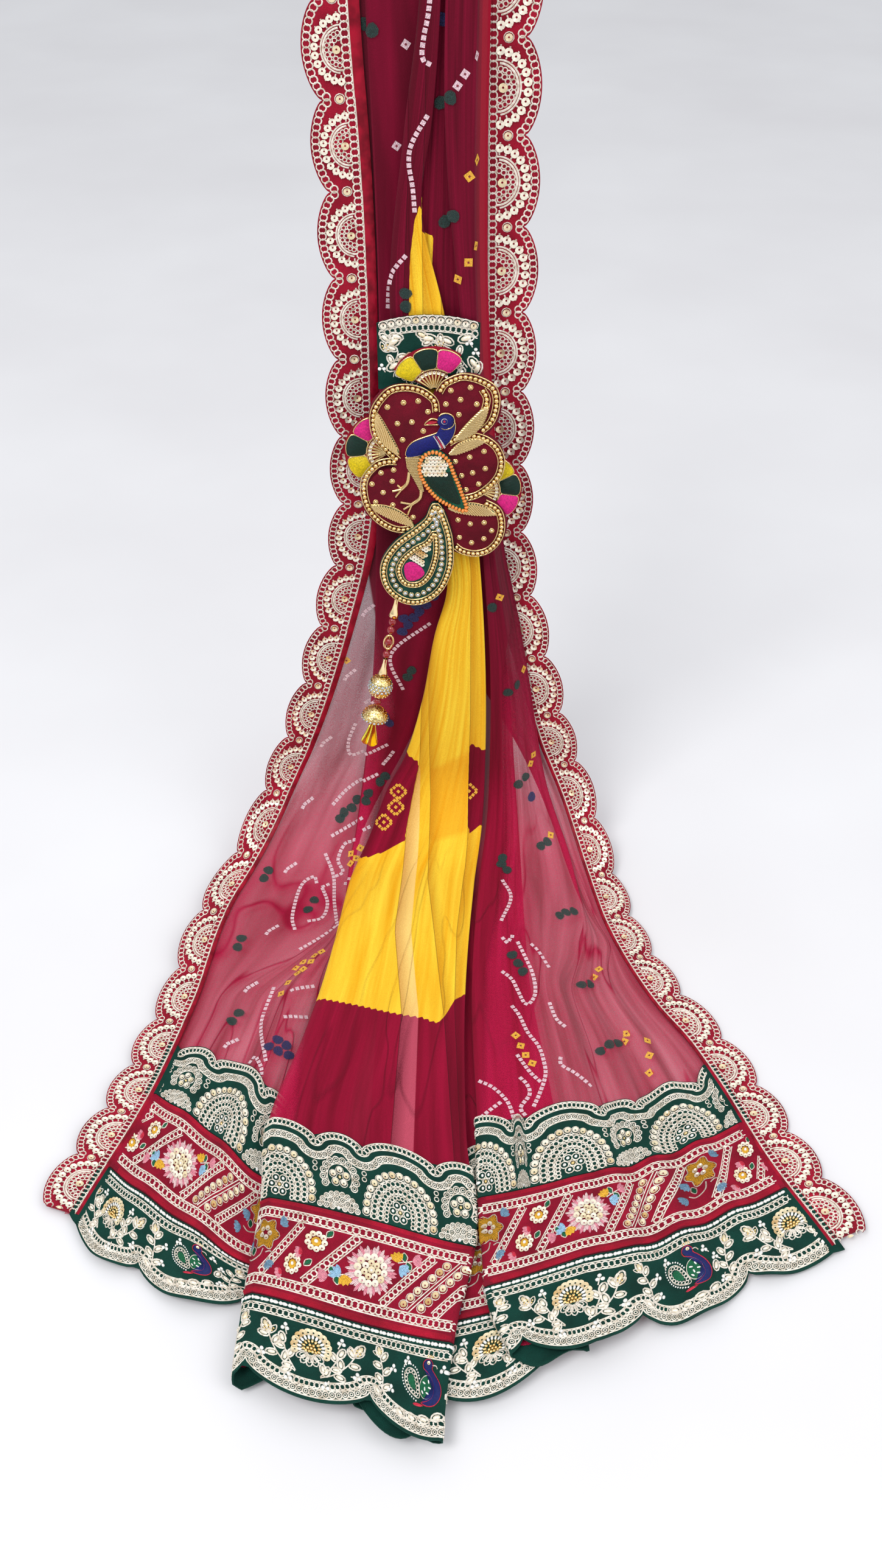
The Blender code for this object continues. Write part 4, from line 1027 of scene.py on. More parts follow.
EYED_SQUARES = [(-6.1, 66.4), (-6.8, 66.9), (-6.4, 67.4), (-6.8, 67.9), (-8.5, 76.9), (-9.0, 77.1),
                (-9.2, 77.8), (-9.8, 77.5), (-10.3, 78.0), (-10.1, 78.8), (-9.7, 78.5), (-10.7, 79.6),
                (-11.1, 80.6), (4.0, 43.0), (5.9, 49.9), (6.2, 49.3), (6.7, 58.3), (6.9, 57.6),
                (8.3, 65.2), (10.8, 78.7), (11.2, 78.0), (12.4, 84.6), (12.6, 84.0), (13.9, 84.8),
                (13.9, 86.1), (13.8, 87.4), (5.0, 85.0), (5.3, 85.9), (5.6, 86.7), (6.0, 87.4),
                (2.0, 14.1), (1.6, 14.9), (2.0, 18.9), (1.6, 19.8), (1.0, 20.8)]
PALE_SQUARES = [(1.9, 8.6), (1.3, 9.5), (0.9, 10.1), (-1.9, 8.3), (-2.5, 13.6)]
LOZENGES = [(-3.2, 60.8), (-3.4, 62.5), (-4.3, 64.1), (2.1, 60.8)]
SQUARE_PITCH = 0.36


def on_top(across, run):
    """The uppermost cloth at places in cm: points, and there the directions across, down and out."""
    across, run = np.asarray(across) * CM, np.asarray(run) * CM
    _, sides, heights = section(run)
    low, high = sides[:-1], sides[1:]
    share = np.clip((across - low) / np.where(high == low, 1, high - low), 0, 1)
    level = heights[:-1] * (1 - share) + heights[1:] * share
    level = np.where((low - across) * (high - across) <= 0, level, -1)
    pick = level.argmax(axis=0)
    column = pick + share[pick, np.arange(len(run))]
    point = cloth_at(column, run)

    def unit(vectors):
        return vectors / np.linalg.norm(vectors, axis=1, keepdims=True)

    ahead = unit(cloth_at(np.floor(column) + 0.99, run) - cloth_at(np.floor(column) + 0.01, run))
    ahead *= np.sign(ahead[:, :1])
    down = cloth_at(column, run + MM) - point
    out = unit(np.cross(down, ahead))
    out *= np.where(run < WALL_RUN, -np.sign(out[:, 1]), np.sign(out[:, 2]))[:, None]
    return point, ahead, unit(down - ahead * np.sum(down * ahead, axis=1, keepdims=True)), out


def stamp(work, kind, places, outline, lift=0.25):
    """Printed shapes, each an outline in mm, at places (across, run, turn) on the uppermost cloth."""
    places, outline = np.array(places, float), np.array(outline, float) * MM
    point, ahead, down, out = on_top(places[:, 0], places[:, 1])
    c, s = np.cos(places[:, 2])[:, None], np.sin(places[:, 2])[:, None]
    x = outline[:, 0] * c - outline[:, 1] * s
    y = outline[:, 0] * s + outline[:, 1] * c
    centre = point + out * lift * MM
    corners = centre[:, None] + ahead[:, None] * x[..., None] + down[:, None] * y[..., None]
    points = np.concatenate([corners, centre[:, None]], axis=1).reshape(-1, 3)
    count = len(outline)
    fan = cone(count, 0, count)[:, [1, 0, 2]]
    tris = (fan[None] + (np.arange(len(places)) * (count + 1))[:, None, None]).reshape(-1, 3)
    work.add(kind, points, (), tris, 0.0)


def square(side):
    return np.array([(-1, -1), (1, -1), (1, 1), (-1, 1)]) * side / 2


def build_print(looks):
    """All the printed shapes, one object a colour."""
    work = Work()
    rows = [smooth(path) for path in DOTTED]
    rows += [np.array([(x - 0.1, y + 0.4), (x + 0.1, y), (x + 0.8, y - 0.6)]) for x, y in SHORT_ROWS]
    stamp(work, "white", [place for row in rows for place in spaced(row, SQUARE_PITCH)], square(2.6))
    gold = []
    for x, y in LOZENGES:
        ring = np.array([(x, y - 0.85), (x + 0.62, y), (x, y + 0.85), (x - 0.62, y)])
        gold += [place for place in spaced(ring, SQUARE_PITCH, closed=True) if not 0.5 < place[0] < 2.05]
        gold.append((x, y, 0.7))
    stamp(work, "yellow", gold, square(2.2))
    eyed = [(x, y, 0.5 + math.sin(k * 5.1) * 0.5) for k, (x, y) in enumerate(EYED_SQUARES)]
    pale = [(x, y, 0.6) for x, y in PALE_SQUARES]
    stamp(work, "yellow", eyed, square(4.8))
    stamp(work, "white", pale, square(4.2))
    stamp(work, "maroon", eyed + pale, square(1.2), 0.4)
    blob = CIRCLE * (4.2, 3.6)
    blob[::3] *= 0.9
    for kind, dots in (("green", GREEN_DOTS), ("navy", NAVY_DOTS)):
        stamp(work, kind, [(x, y, k * 1.3) for k, (x, y) in enumerate(dots)], blob, 0.7)
    return work.build("print", looks)


class Border:
    """The face of the border, by metres along it and by bands down it: 0 to 1, 1 to 2 and 2 to 3."""

    ROWS = np.concatenate([np.linspace(-0.5, 0, 9)[:-1], np.linspace(0, 3, 61), np.linspace(3, 3.5, 9)[1:]])
    HEIGHTS = (46 * MM, 58 * MM, 42 * MM)

    def __init__(self):
        top, upper, lower, hem = (border_run(table, FINE_STATIONS)
                                  for table in (BORDER_TOP, UPPER_SEAM, LOWER_SEAM, HEM))
        lines = [top - 0.5 * self.HEIGHTS[0], top, upper, lower, hem, hem + 0.5 * self.HEIGHTS[2]]
        runs = np.array([self.between(lines, row) for row in self.ROWS])
        self.grid = cloth_at(np.broadcast_to(COLUMNS, runs.shape), runs)
        self.normal = grid_normals(self.grid)

    @staticmethod
    def between(lines, row):
        places = (-0.5, 0, 1, 2, 3, 3.5)
        k = min(max(np.searchsorted(places, row) - 1, 0), len(places) - 2)
        share = (row - places[k]) / (places[k + 1] - places[k])
        return lines[k] * (1 - share) + lines[k + 1] * share

    def at(self, along, band, lift):
        """World points on the face, lifted off it."""
        column = np.clip(np.interp(along, FINE_DISTANCES, np.arange(len(COLUMNS))), 0, len(COLUMNS) - 1.001)
        row = np.clip(np.interp(band, self.ROWS, np.arange(len(self.ROWS))), 0, len(self.ROWS) - 1.001)
        c, r = column.astype(int), row.astype(int)
        x, y = (column - c)[:, None], (row - r)[:, None]
        point, normal = 0, 0
        for dr, down in enumerate((1 - y, y)):
            for dc, across in enumerate((1 - x, x)):
                point = point + self.grid[r + dr, c + dc] * (down * across)
                normal = normal + self.normal[r + dr, c + dc] * (down * across)
        normal = normal / np.linalg.norm(normal, axis=-1, keepdims=True)
        return point + normal * np.asarray(lift)[..., None]


def build_band(name, border, rows, look):
    """One band of the border: a closed sheet on the ground, between the laces."""
    distance = FINE_DISTANCES[1:-1]
    front, back = (np.array([border.at(distance, row, 0 * row + lift) for row in rows])
                   for lift in (BAND_FACE, BAND_BACK))
    return solid_sheet(name, front, back, look)


def build_bands(border, green, maroon):
    """The three bands, with scallops along the upper and the lower edge of the border."""
    along = FINE_DISTANCES[1:-1]
    crest = -(EDGE + scallop(TOP_NOTCHES, along, TOP_DEPTH)) / border.HEIGHTS[0]
    reach = 3 + scallop(HEM_NOTCHES, along, HEM_DEPTH) / border.HEIGHTS[2]
    top, middle, hem = (GAP / height for height in border.HEIGHTS)
    flat = 0 * along

    def rows(first, last, count):
        return list(np.linspace(first, last, count))

    top_rows = rows(crest, flat, 4)[:-1] + rows(flat, flat + 1 - top, 9)
    hem_rows = rows(flat + 2 + hem, flat + 3, 9) + rows(flat + 3, reach, 4)[1:]
    return (build_band("band_top", border, top_rows, green),
            build_band("band_middle", border, rows(flat + 1 + middle, flat + 2 - middle, 12), maroon),
            build_band("band_hem", border, hem_rows, green))


class Lace:
    """One scalloped lace: by scallops along it, by share of its width outwards, and lifted off its face."""

    def __init__(self, side, seam, scallops, end, base):
        self.side, self.seam, self.scallops, self.end, self.base = side, seam, scallops, end, base
        self.fine = np.linspace(0, end * CM, 3000)
        self.count = follow(scallops, self.fine) / CM

    def at(self, count, share, lift):
        runs = np.interp(count, self.count, self.fine)
        slope = (follow(self.seam, runs + MM) - follow(self.seam, runs - MM)) / (2 * MM)
        length = np.sqrt(1 + slope ** 2)
        out = follow(LACE_WIDTH, runs) * share
        across = follow(self.seam, runs) + self.side * out / length
        run = np.maximum(runs - self.side * out * slope / length, 0)
        thinned = ease(run, THINNING[0] * CM, THINNING[1] * CM)
        height = self.base * (1 - thinned) + relief(across, run) + BAND_BACK + BAND / 2 + lift
        return on_path(across, run, height)

    @staticmethod
    def reach(count):
        return LACE_NOTCH + (1 - LACE_NOTCH) * np.sin(math.pi * (count % 1)) ** 0.6

    def pitch(self, count):
        """Length of a scallop along the seam."""
        low, high = (np.interp(count + step, self.count, self.fine) for step in (-0.5, 0.5))
        slope = (follow(self.seam, high) - follow(self.seam, low)) / (high - low)
        return (high - low) * np.sqrt(1 + slope ** 2)


LACES = {
    "left": Lace(-1, LEFT_SEAM, LEFT_SCALLOPS, 98.3, (NECK_GAPS[0] + NECK_GAPS[1]) * MM),
    "right": Lace(1, RIGHT_SEAM, RIGHT_SCALLOPS, 100.4, 0),
}
LACE_STEPS = 16


def build_lace(name, lace, look):
    """The lace's own cloth, a closed sheet with round scallops."""
    first, last = lace.count[0], math.floor(lace.count[-1] * LACE_STEPS) / LACE_STEPS
    even = np.arange(math.ceil(first * LACE_STEPS), last * LACE_STEPS + 1) / LACE_STEPS
    count = np.unique(np.concatenate([[first], even]))
    grids = []
    for lift in (BAND / 2, -BAND / 2):
        rows = [lace.at(count, share + 0 * count, lift) for share in (0, 0.15, 0.3, 0.45, 0.6, LACE_NOTCH)]
        beyond = lace.reach(count) - LACE_NOTCH
        rows += [lace.at(count, LACE_NOTCH + beyond * part, lift) for part in (0.5, 1)]
        grids.append(np.array(rows if lace.side > 0 else rows[::-1]).transpose(1, 0, 2))
    return solid_sheet(name, *grids, look)


# The laces' embroidery, drawn for one scallop: x along it from its middle, y out from the seam, in mm

SCALLOP = 52.0
LACE_REACH = 33.0
# Width of the satin strip along each seam, at the top and at the lower end
LACE_STRIPS = {"left": (6.4, 2.2), "right": (3.4, 2.2)}


def scallop_edge(distance):
    """The scallop's outline, some way inside its edge."""
    share = np.linspace(0, 1, 41)
    edge = LACE_REACH * (LACE_NOTCH + (1 - LACE_NOTCH) * np.abs(np.sin(math.pi * share)) ** 0.6)
    return inset(np.stack([(share - 0.5) * SCALLOP, edge], 1), distance, -1)


def lace_unit(strip):
    """One scallop: strip on the seam, ring chain, half medallion, edge chain, a sequin at the notch."""
    work = Work()
    pen = Pen(work)
    half = SCALLOP / 2
    pen.cord("satin", line((-half, strip / 2), (half, strip / 2), 6), strip, 0.7)
    pen.chain(line((-half, strip + 2.8), (half, strip + 2.8)), 2.3, 4.0, wire=0.85)
    pen.cord("cord", line((-half, strip + 0.3), (half, strip + 0.3), 3), 0.6, 0.4)
    middle = strip + 5.6
    at = pen.at(0, middle, size=(28.4 - middle) / 16)
    at.sequin(0, 2.2, 2.2)
    for radius, count, size in ((4.9, 7, 1.2), (7.3, 11, 1.15)):
        for angle in np.linspace(8, 172, count):
            where = arc((0, 0), (radius * 1.12, radius), angle, angle + 1)[0]
            at.ring(*where, size, wire=0.6)
    at.cord("cord", arc((0, 0), (10.6, 9.2), -4, 176), 1.1, 0.7)
    at.cord("cord", arc((0, 0), (12.0, 10.4), 6, 184), 0.9, 0.6)
    for angle in np.linspace(4, 176, 12):
        stem = at.at(2.4 * math.cos(math.radians(angle)), 0, math.radians(angle))
        stem.cord("cord", [(10.5, 0), (11.3, 0.1), (12.2, 0)], 0.8, 0.5)
        stem.cord("cord", [(15.2, 0), (16.2, 0)], 0.8, 0.5)
        stem.sequin(13.7, 0, 2.05, lift=0.3)
    pen.chain(scallop_edge(2.7), 2.2, 3.8, wire=0.85)
    pen.cord("pile", scallop_edge(0.2), 1.0, 0.6)
    notch = LACE_REACH * LACE_NOTCH - 9.2
    pen.ring(half, notch, 2.8, wire=0.6)
    pen.sequin(half, notch, 2.2)
    return work


def embroider_lace(side, lace, looks):
    """All scallops of a lace, as the objects that hold its thread and sequins. Its strip narrows downward."""
    whole = Work()
    first, last = lace.count[0], lace.count[-1]
    for k in range(math.floor(first), math.ceil(last)):
        def surface(points):
            count = k + 0.5 + points[:, 0] / SCALLOP
            keep = (count > first) & (count < last + 0.001)
            return lace.at(count, points[:, 1] / LACE_REACH, BAND / 2 + points[:, 2] * MM), keep

        unit = lace_unit(np.interp(k, (first, last), LACE_STRIPS[side]))
        unit.laid(surface, whole, mirrored=lace.side < 0)
    return whole.build("lace_" + side, looks)


# The border's embroidery, drawn for one repeat: x along it, y down from the band's upper seam, in mm

# The stretches that show, in cm along the border, and where the middle band's pattern (mm) lies along it (cm)
SHOWN = ((0.1, 12.6), (20.0, 34.0), (43.0, 53.8), (58.6, 77.7))
MIDDLE_PLACES = [(10, -0.8), (28, 0.8), (66, 4.1), (104, 7.8), (140, 10.9), (168, 13.9), (280, 20.9),
                 (308, 23.25), (346, 27.7), (384, 31.7), (420, 35.4), (700, 59.5), (728, 61.95),
                 (766, 65.5), (804, 69.1), (840, 73.5), (868, 76.5), (906, 79.9)]
WIDE, NARROW, HEM_REPEAT, REPEAT = 50.0, 32.0, 70.0, 140.0
TOP_PLACES = [(k // 2 * (WIDE + NARROW) + k % 2 * WIDE, notch) for k, notch in enumerate(TOP_NOTCHES)]
HEM_PLACES = [(k * HEM_REPEAT, notch) for k, notch in enumerate(HEM_NOTCHES)]


def crests(widths, start, reaches):
    """The outline of neighbouring scallops: their widths, where they start and how far each reaches."""
    points, first = [], 0.0
    for width, reach in zip(widths, reaches):
        share = np.linspace(0, 1, round(width / 1.3))[:-1]
        points += [(first + t * width, start + reach * math.sin(math.pi * t) ** 0.6) for t in share]
        first += width
    return np.array(points + [(first, start)])


def arch(x, y, radii, foot):
    """An arch over a centre, its two legs down to the foot."""
    return np.concatenate([[[x - radii[0], foot]], arc((x, y), radii, 180, 360), [[x + radii[0], foot]]])


def looped_sequin(pen, x, y, kind="sequin", size=1.9):
    pen.ring(x, y, size + 0.65, wire=0.5)
    pen.sequin(x, y, size, kind)


def ring_flower(pen, x, y, petals, radius, size):
    for angle in turns(petals):
        pen.ring(*around(x, y, radius, angle), size, wire=0.7)
        pen.bead(*around(x, y, radius, angle), size * 0.4, "pearl")
    pen.ring(x, y, size * 0.8, wire=0.7)
    pen.bead(x, y, size * 0.45, "gold_bead")


def top_repeat():
    """A wide scallop with its medallion and a narrow one with its sequin flower."""
    work = Work()
    pen = Pen(work)
    outline = crests((WIDE, NARROW), -47, (-10, -7.7))
    for distance in (0.9, 5.7, 9.9, 14.7):
        pen.cord("cord", inset(outline, distance, 1))
    pen.chain(inset(outline, 3.3, 1), 1.8, 3.1)
    pen.ringed(inset(outline, 12.3, 1), 4.0, 2.0, 0.8)
    x, y = WIDE / 2, -8
    for k, place in enumerate(spaced(arch(x, y, (22.6, 26), -2), 5.2)):
        looped_sequin(pen, *place[:2], "gold_sequin" if k % 3 == 1 else "sequin", 2.1)
    for cord, chain, size in (((19.6, 23), (17.4, 20.6), 1.7), ((15.2, 18.2), (13.0, 15.8), 1.6),
                              ((11.0, 13.6), (9.0, 11.4), 1.3)):
        pen.cord("cord", arch(x, y, cord, -1), 0.7)
        pen.chain(arch(x, y, chain, -1), size, 2 * size)
    ring_flower(pen, x, -9.6, 6, 4.9, 2.5)
    x, y = WIDE + NARROW / 2, -23
    pen.ringed(arc((x, y), (11.2, 11.8), 140, 400), 4.3, 2.2, 1.0)
    pen.cord("cord", arc((x, y), (8.4, 9.0), 140, 400), 0.7)
    for k, angle in enumerate(np.radians(np.arange(5) * 72 - 90)):
        looped_sequin(pen, *around(x, y, 4.6, angle), "gold_sequin" if k % 2 else "sequin", 2.0)
    pen.bead(x, y, 1.1, "gold_bead")
    for radius, size in ((4.6, 1.6), (8.6, 1.9), (12.8, 1.7)):
        pen.ringed(arc((x, -1), (radius, radius * 0.82), 180, 360), size * 2.1, size, size * 0.4)
    pen.bead(x, -2.4, 1.2, "pearl")
    for x in (0.6, WIDE - 0.6):
        for y in (-29.5, -25.5):
            pen.ring(x, y, 1.5, wire=0.7)
    return work


def tuft(pen, x, y, turn, *colours):
    """A bud: one or two fans of floss, one above another, each as its colour and length."""
    for k, (kind, reach) in enumerate(colours):
        for spread in (-0.62, -0.22, 0.2, 0.6):
            pen.petal(kind, x, y, reach * 1.15, 2.8, turn + spread + 0.15 * (k % 2), 0.7)


def leaf(pen, x, y, turn):
    """A leaf of green floss with a cord around it."""
    length = 5.2
    pen.petal("floss_green", x, y, length, length * 0.5, turn, 0.6)
    shape = [(0, 0), (0.3, 0.28), (0.6, 0.34), (1.05, 0), (0.6, -0.34), (0.3, -0.28)]
    outline = smooth(np.array(shape) * length, 3, closed=True)
    pen.at(x, y, turn).cord("cord", outline, 0.5, 0.5, closed=True)


def sequin_flower(pen, x, y):
    for angle in turns(9):
        pen.sequin(*around(x, y, 4.6, angle), 1.75)
    pen.patch("floss_orange", arc((x, y), (2.9, 2.9), 0, 330), 1.0)
    pen.bead(x, y, 1.1, "pearl", 0.8)


def pink_flower(pen, x, y):
    """Floss spikes around two rounds of sequins."""
    start = 6.0
    for k, angle in enumerate(turns(46)):
        reach = (15.2, 13.0, 14.4, 12.2, 13.8)[k % 5]
        kind = ("floss_pink", "floss_blush", "floss_blush")[k % 3]
        pen.petal(kind, *around(x, y, start, angle), reach - start, 2.1, angle)
    for angle in turns(12):
        pen.sequin(*around(x, y, 7.6, angle), 2.1, "sequin", 0.6)
    for k, angle in enumerate(turns(7)):
        kind = ("sequin", "gold_sequin")[k % 3 == 0]
        pen.sequin(*around(x, y, 4.0, angle), 1.9, kind, 0.7)
    pen.sequin(x, y, 2.1, "sequin", 0.9)
    pen.bead(x, y, 0.8, "pearl", 1.0)


def orange_flower(pen, x, y):
    """Floss petals in six lobes inside a cord, with a round of sequins."""
    outline, start = [], 2.4
    for angle in turns(36):
        radius = 8.6 + 1.5 * math.cos(6 * angle)
        outline.append(around(x, y, radius, angle))
        pen.petal("floss_orange", *around(x, y, start, angle), radius - start, 1.6, angle)
    pen.cord("cord", outline, 0.6, 0.6, closed=True)
    for angle in turns(5):
        pen.sequin(*around(x, y, 2.9, angle), 1.6, "sequin", 0.7)


def slash(pen, x):
    """A slanted ring chain between two cords."""
    path = line((x - 12, 45.4), (x + 12, 12.4))
    pen.chain(path, 1.7, 3.2)
    for off in (-2.6, 2.6):
        pen.cord("cord", beside(path, off), 0.7)


def scroll(pen, x, y, turn):
    curl = [(0, 0), (3.0, -1.4), (6.0, 0.4), (6.2, 3.6), (3.8, 4.6), (2.8, 2.8), (4.2, 2.0)]
    pen.at(x, y, turn).cord("cord", smooth(curl, 4))


def rail(pen, y, radius, pitch, off):
    """A ring chain between two cords, straight along the repeat."""
    pen.chain(line((0, y), (REPEAT, y)), radius, pitch)
    for edge in (y - off, y + off):
        pen.cord("cord", line((0, edge), (REPEAT, edge), 3))


def middle_repeat():
    """Ring chains along both edges, slanted chains, and between them flowers and rows of sequins."""
    work = Work()
    pen = Pen(work)
    for y, width, height in ((1.6, 2.6, 0.8), (55.6, 3.4, 1.0)):
        pen.cord("binding", line((0, y), (REPEAT, y), 5), width, height)
    for y in (8.6, 49.2):
        rail(pen, y, 2.1, 3.5, 2.9)
    for x in (13, 44, 88, 120):
        slash(pen, x)
    for x in (98.6, 109.4):
        for place in spaced(line((x - 11.4, 44.6), (x + 11.4, 13.2)), 5.3):
            looped_sequin(pen, *place[:2], "gold_sequin", 2.0)
    for off in (-0.9, 0.9):
        pen.cord("cord", beside(line((92, 45.4), (116, 12.4)), off), 0.7)

    sequin_flower(pen, 34.5, 21.0)
    sequin_flower(pen, 23.0, 37.0)
    tuft(pen, 28.5, 29.0, 2.9, ("floss_pink", 5.4), ("floss_red", 3.6))
    tuft(pen, 16.5, 42.5, 2.6, ("floss_pink", 5.0), ("floss_red", 3.4))
    leaf(pen, 39.5, 17.0, -1.0)
    leaf(pen, 30.5, 36.0, -0.9)
    pink_flower(pen, 66, 29)
    # A spray to each side of the pink flower, the left one turned half around
    for side, x, y, half_turn, tip in ((1, 80, 20.5, 0, -0.3), (-1, 52, 35, 3.1, 2.9)):
        tuft(pen, x, y, half_turn - 1.9, ("floss_orange", 5.6))
        tuft(pen, x + side * 1.4, y + 1.5, half_turn + 0.5, ("floss_blue", 6.0))
        pen.cord("cord", smooth([(x, y), (x + side * 4, y - side * 1.5), (x + side * 8, y - side * 3)]), 0.7)
        leaf(pen, x + side * 4, y - side * 1.4, half_turn - 1.9)
        leaf(pen, x + side * 5, y - side * 1.8, 0.9 - half_turn)
        tuft(pen, x + side * 8, y - side * 3, tip, ("floss_pink", 5.4))
    for x in (0, REPEAT):
        orange_flower(pen, x, 22.5)
        leaf(pen, x - 8.0, 30.0, 1.4)
        pen.cord("cord", smooth([(x, 31.5), (x - 2, 36), (x - 8, 38), (x - 12, 36)]))
        scroll(pen, x + 2, 33.5, 0.1)
        for dx, y, turn, reach in ((9.0, 15.5, -0.6, 5.6), (-9.5, 26.0, 2.4, 5.6), (4.0, 38.0, 0.9, 5.2),
                                   (-13.5, 37.5, 2.7, 5.2)):
            tuft(pen, x + dx, y, turn, ("floss_blue", reach))
    return work


def pearls(pen, x, y, stem):
    """Three pearls on a short stem."""
    pen.cord("cord", [(x, y), (x + stem[0], y + stem[1])], 0.7)
    for dx, dy in ((0, -1.5), (-1.35, 0.9), (1.35, 0.9)):
        pen.bead(x + dx, y + dy, 1.15, "pearl")


def sprig(pen, points, leaves, size=5.6):
    """A curved stem with looped leaves to both sides and one at its tip."""
    path = smooth(points)
    pen.cord("cord", path)
    for k, (x, y, turn) in enumerate(spaced(path, math.dist(path[0], path[-1]) / leaves)):
        loop(pen, x, y, turn + (0.95 if k % 2 else -0.95), size)
    ahead = path[-1] - path[-2]
    loop(pen, *path[-1], math.atan2(ahead[1], ahead[0]), size * 1.15)


def loop(pen, x, y, turn, length):
    """A leaf of cord with a long sequin in it."""
    at = pen.at(x, y, turn)
    at.ring(length * 0.62, 0, length * 0.34, stretch=1.75, wire=1.0)
    at.bead(length * 0.62, 0, length * 0.2, "sequin", stretch=2.0)


def tulip(pen, x, y, turn, size=1.0):
    """An open blossom of three pointed loops."""
    for angle, length in ((-0.7, 7.4), (0, 8.6), (0.7, 7.4)):
        at = pen.at(x, y, turn, size).at(0, 0, angle)
        shape = [(0, 0), (length * 0.55, -1.7), (length, 0), (length * 0.55, 1.7)]
        at.cord("cord", smooth(shape, 4, closed=True), closed=True)
        for share in (0.35, 0.6):
            at.bead(length * share, 0, 0.7, "gold_bead")


def daisy(pen, x, y):
    """A sequin flower over a fan of loops, radial bugle beads and a gold heart."""
    for angle in np.radians(np.linspace(160, 380, 13)):
        pen.sequin(*around(x, y, 9.6, angle), 2.25, "gold_sequin", 0.4)
        pen.bead(*around(x, y, 7.0, angle), 0.8, "pearl", 0.3, 2.0, angle)
    for angle in np.radians(np.linspace(165, 375, 9)):
        pen.bead(*around(x, y, 4.6, angle), 0.8, "gold_bead", 0.3, 1.6, angle)
    for dx, dy in ((0, 0), (2, 0.2), (-2, 0.2), (1, -1.8), (-1, -1.8), (0.9, 2), (-0.9, 2), (2.9, 2),
                   (-2.9, 2)):
        pen.bead(x + dx, y + dy, 0.95, "gold_bead", 0.2)
    for angle in (0.55, 1.05, 1.57, 2.09, 2.59):
        fan = pen.at(x, y + 2, angle)
        fan.ring(5.6, 0, 2.0, stretch=1.7)
        fan.ring(5.0, 0, 1.0, stretch=1.9, wire=0.6)


def hem_peacock(pen, x, y):
    """A small peacock looking back over its paisley tail."""
    at = pen.at(x, y, 0, 0.74)
    body = [(-4.5, -14), (0, -11), (5, -5.5), (6.8, 0), (6, 6), (1.5, 9.5), (-3.5, 11.5), (2, 12.8),
            (8.5, 11), (12.6, 6), (13.4, 0), (11, -6), (6.5, -11), (3.2, -14.5), (3.4, -18), (1, -21),
            (-3, -21), (-5.4, -18)]
    at.patch("floss_navy", smooth(body[:2] + [(3, -8.5)] + body[2:14], 2, closed=True), 0.9, thread=0.8)
    at.patch("floss_navy", arc((-0.8, -17.6), (4.1, 3.9), 0, 330), 1.1)
    at.cord("floss_red", smooth(body, 3, closed=True), 0.7, 0.9, closed=True)
    at.sequin(-0.6, -18.0, 1.5, "sequin", 1.2)
    at.cord("cord", smooth([(3, -17.4), (6.2, -17.6), (8, -15.4)]), 0.8, 0.8)
    at.patch("floss_green", arc((0, -0.5), (6.0, 8.4), 0, 340), 1.0, thread=1.3)
    at.cord("cord", arc((0, -0.5), (6.4, 8.8), 0, 345), 0.6, 0.8, closed=True)
    for dx, dy, turn in ((-2.6, -3, 0.4), (1.4, -4.6, 1.2), (2.8, -0.2, 0.2), (-1.4, 1.2, 1.4),
                         (1.2, 4.0, 0.3), (-3.2, 4, 0.9)):
        at.bead(dx, dy, 0.65, "pearl", 0.9, 2.4, turn)
    at.petal("floss_red", -1, 13.4, 10, 2.6, math.pi - 0.05, 0.9)
    for dx in (-1.8, 0.4, 2.4):
        at.bead(dx, -24.2 + abs(dx) * 0.3, 0.7, "gold_bead", 0.2, 1.8, -1.5)
    heart = np.array([-14.0, -2.0])
    tail = smooth([(-5.5, 8), (-12, 7), (-19, 1.5), (-21.5, -6.5), (-18.5, -11.5), (-12.5, -10.5),
                   (-8.5, -4)], 5, closed=True)
    at.patch("floss_green", heart + (tail - heart) * 0.5, 0.8, thread=0.9)
    for place in spaced(heart + (tail - heart) * 0.78, 3.0, closed=True):
        at.ring(*place[:2], 1.35, wire=0.7)
    at.cord("cord", tail, 0.7, 0.6, closed=True)
    for place in spaced(heart + (tail - heart) * 1.3, 2.3, closed=True):
        if place[0] < -6.5:
            at.bead(*place[:2], 0.7, "pearl")


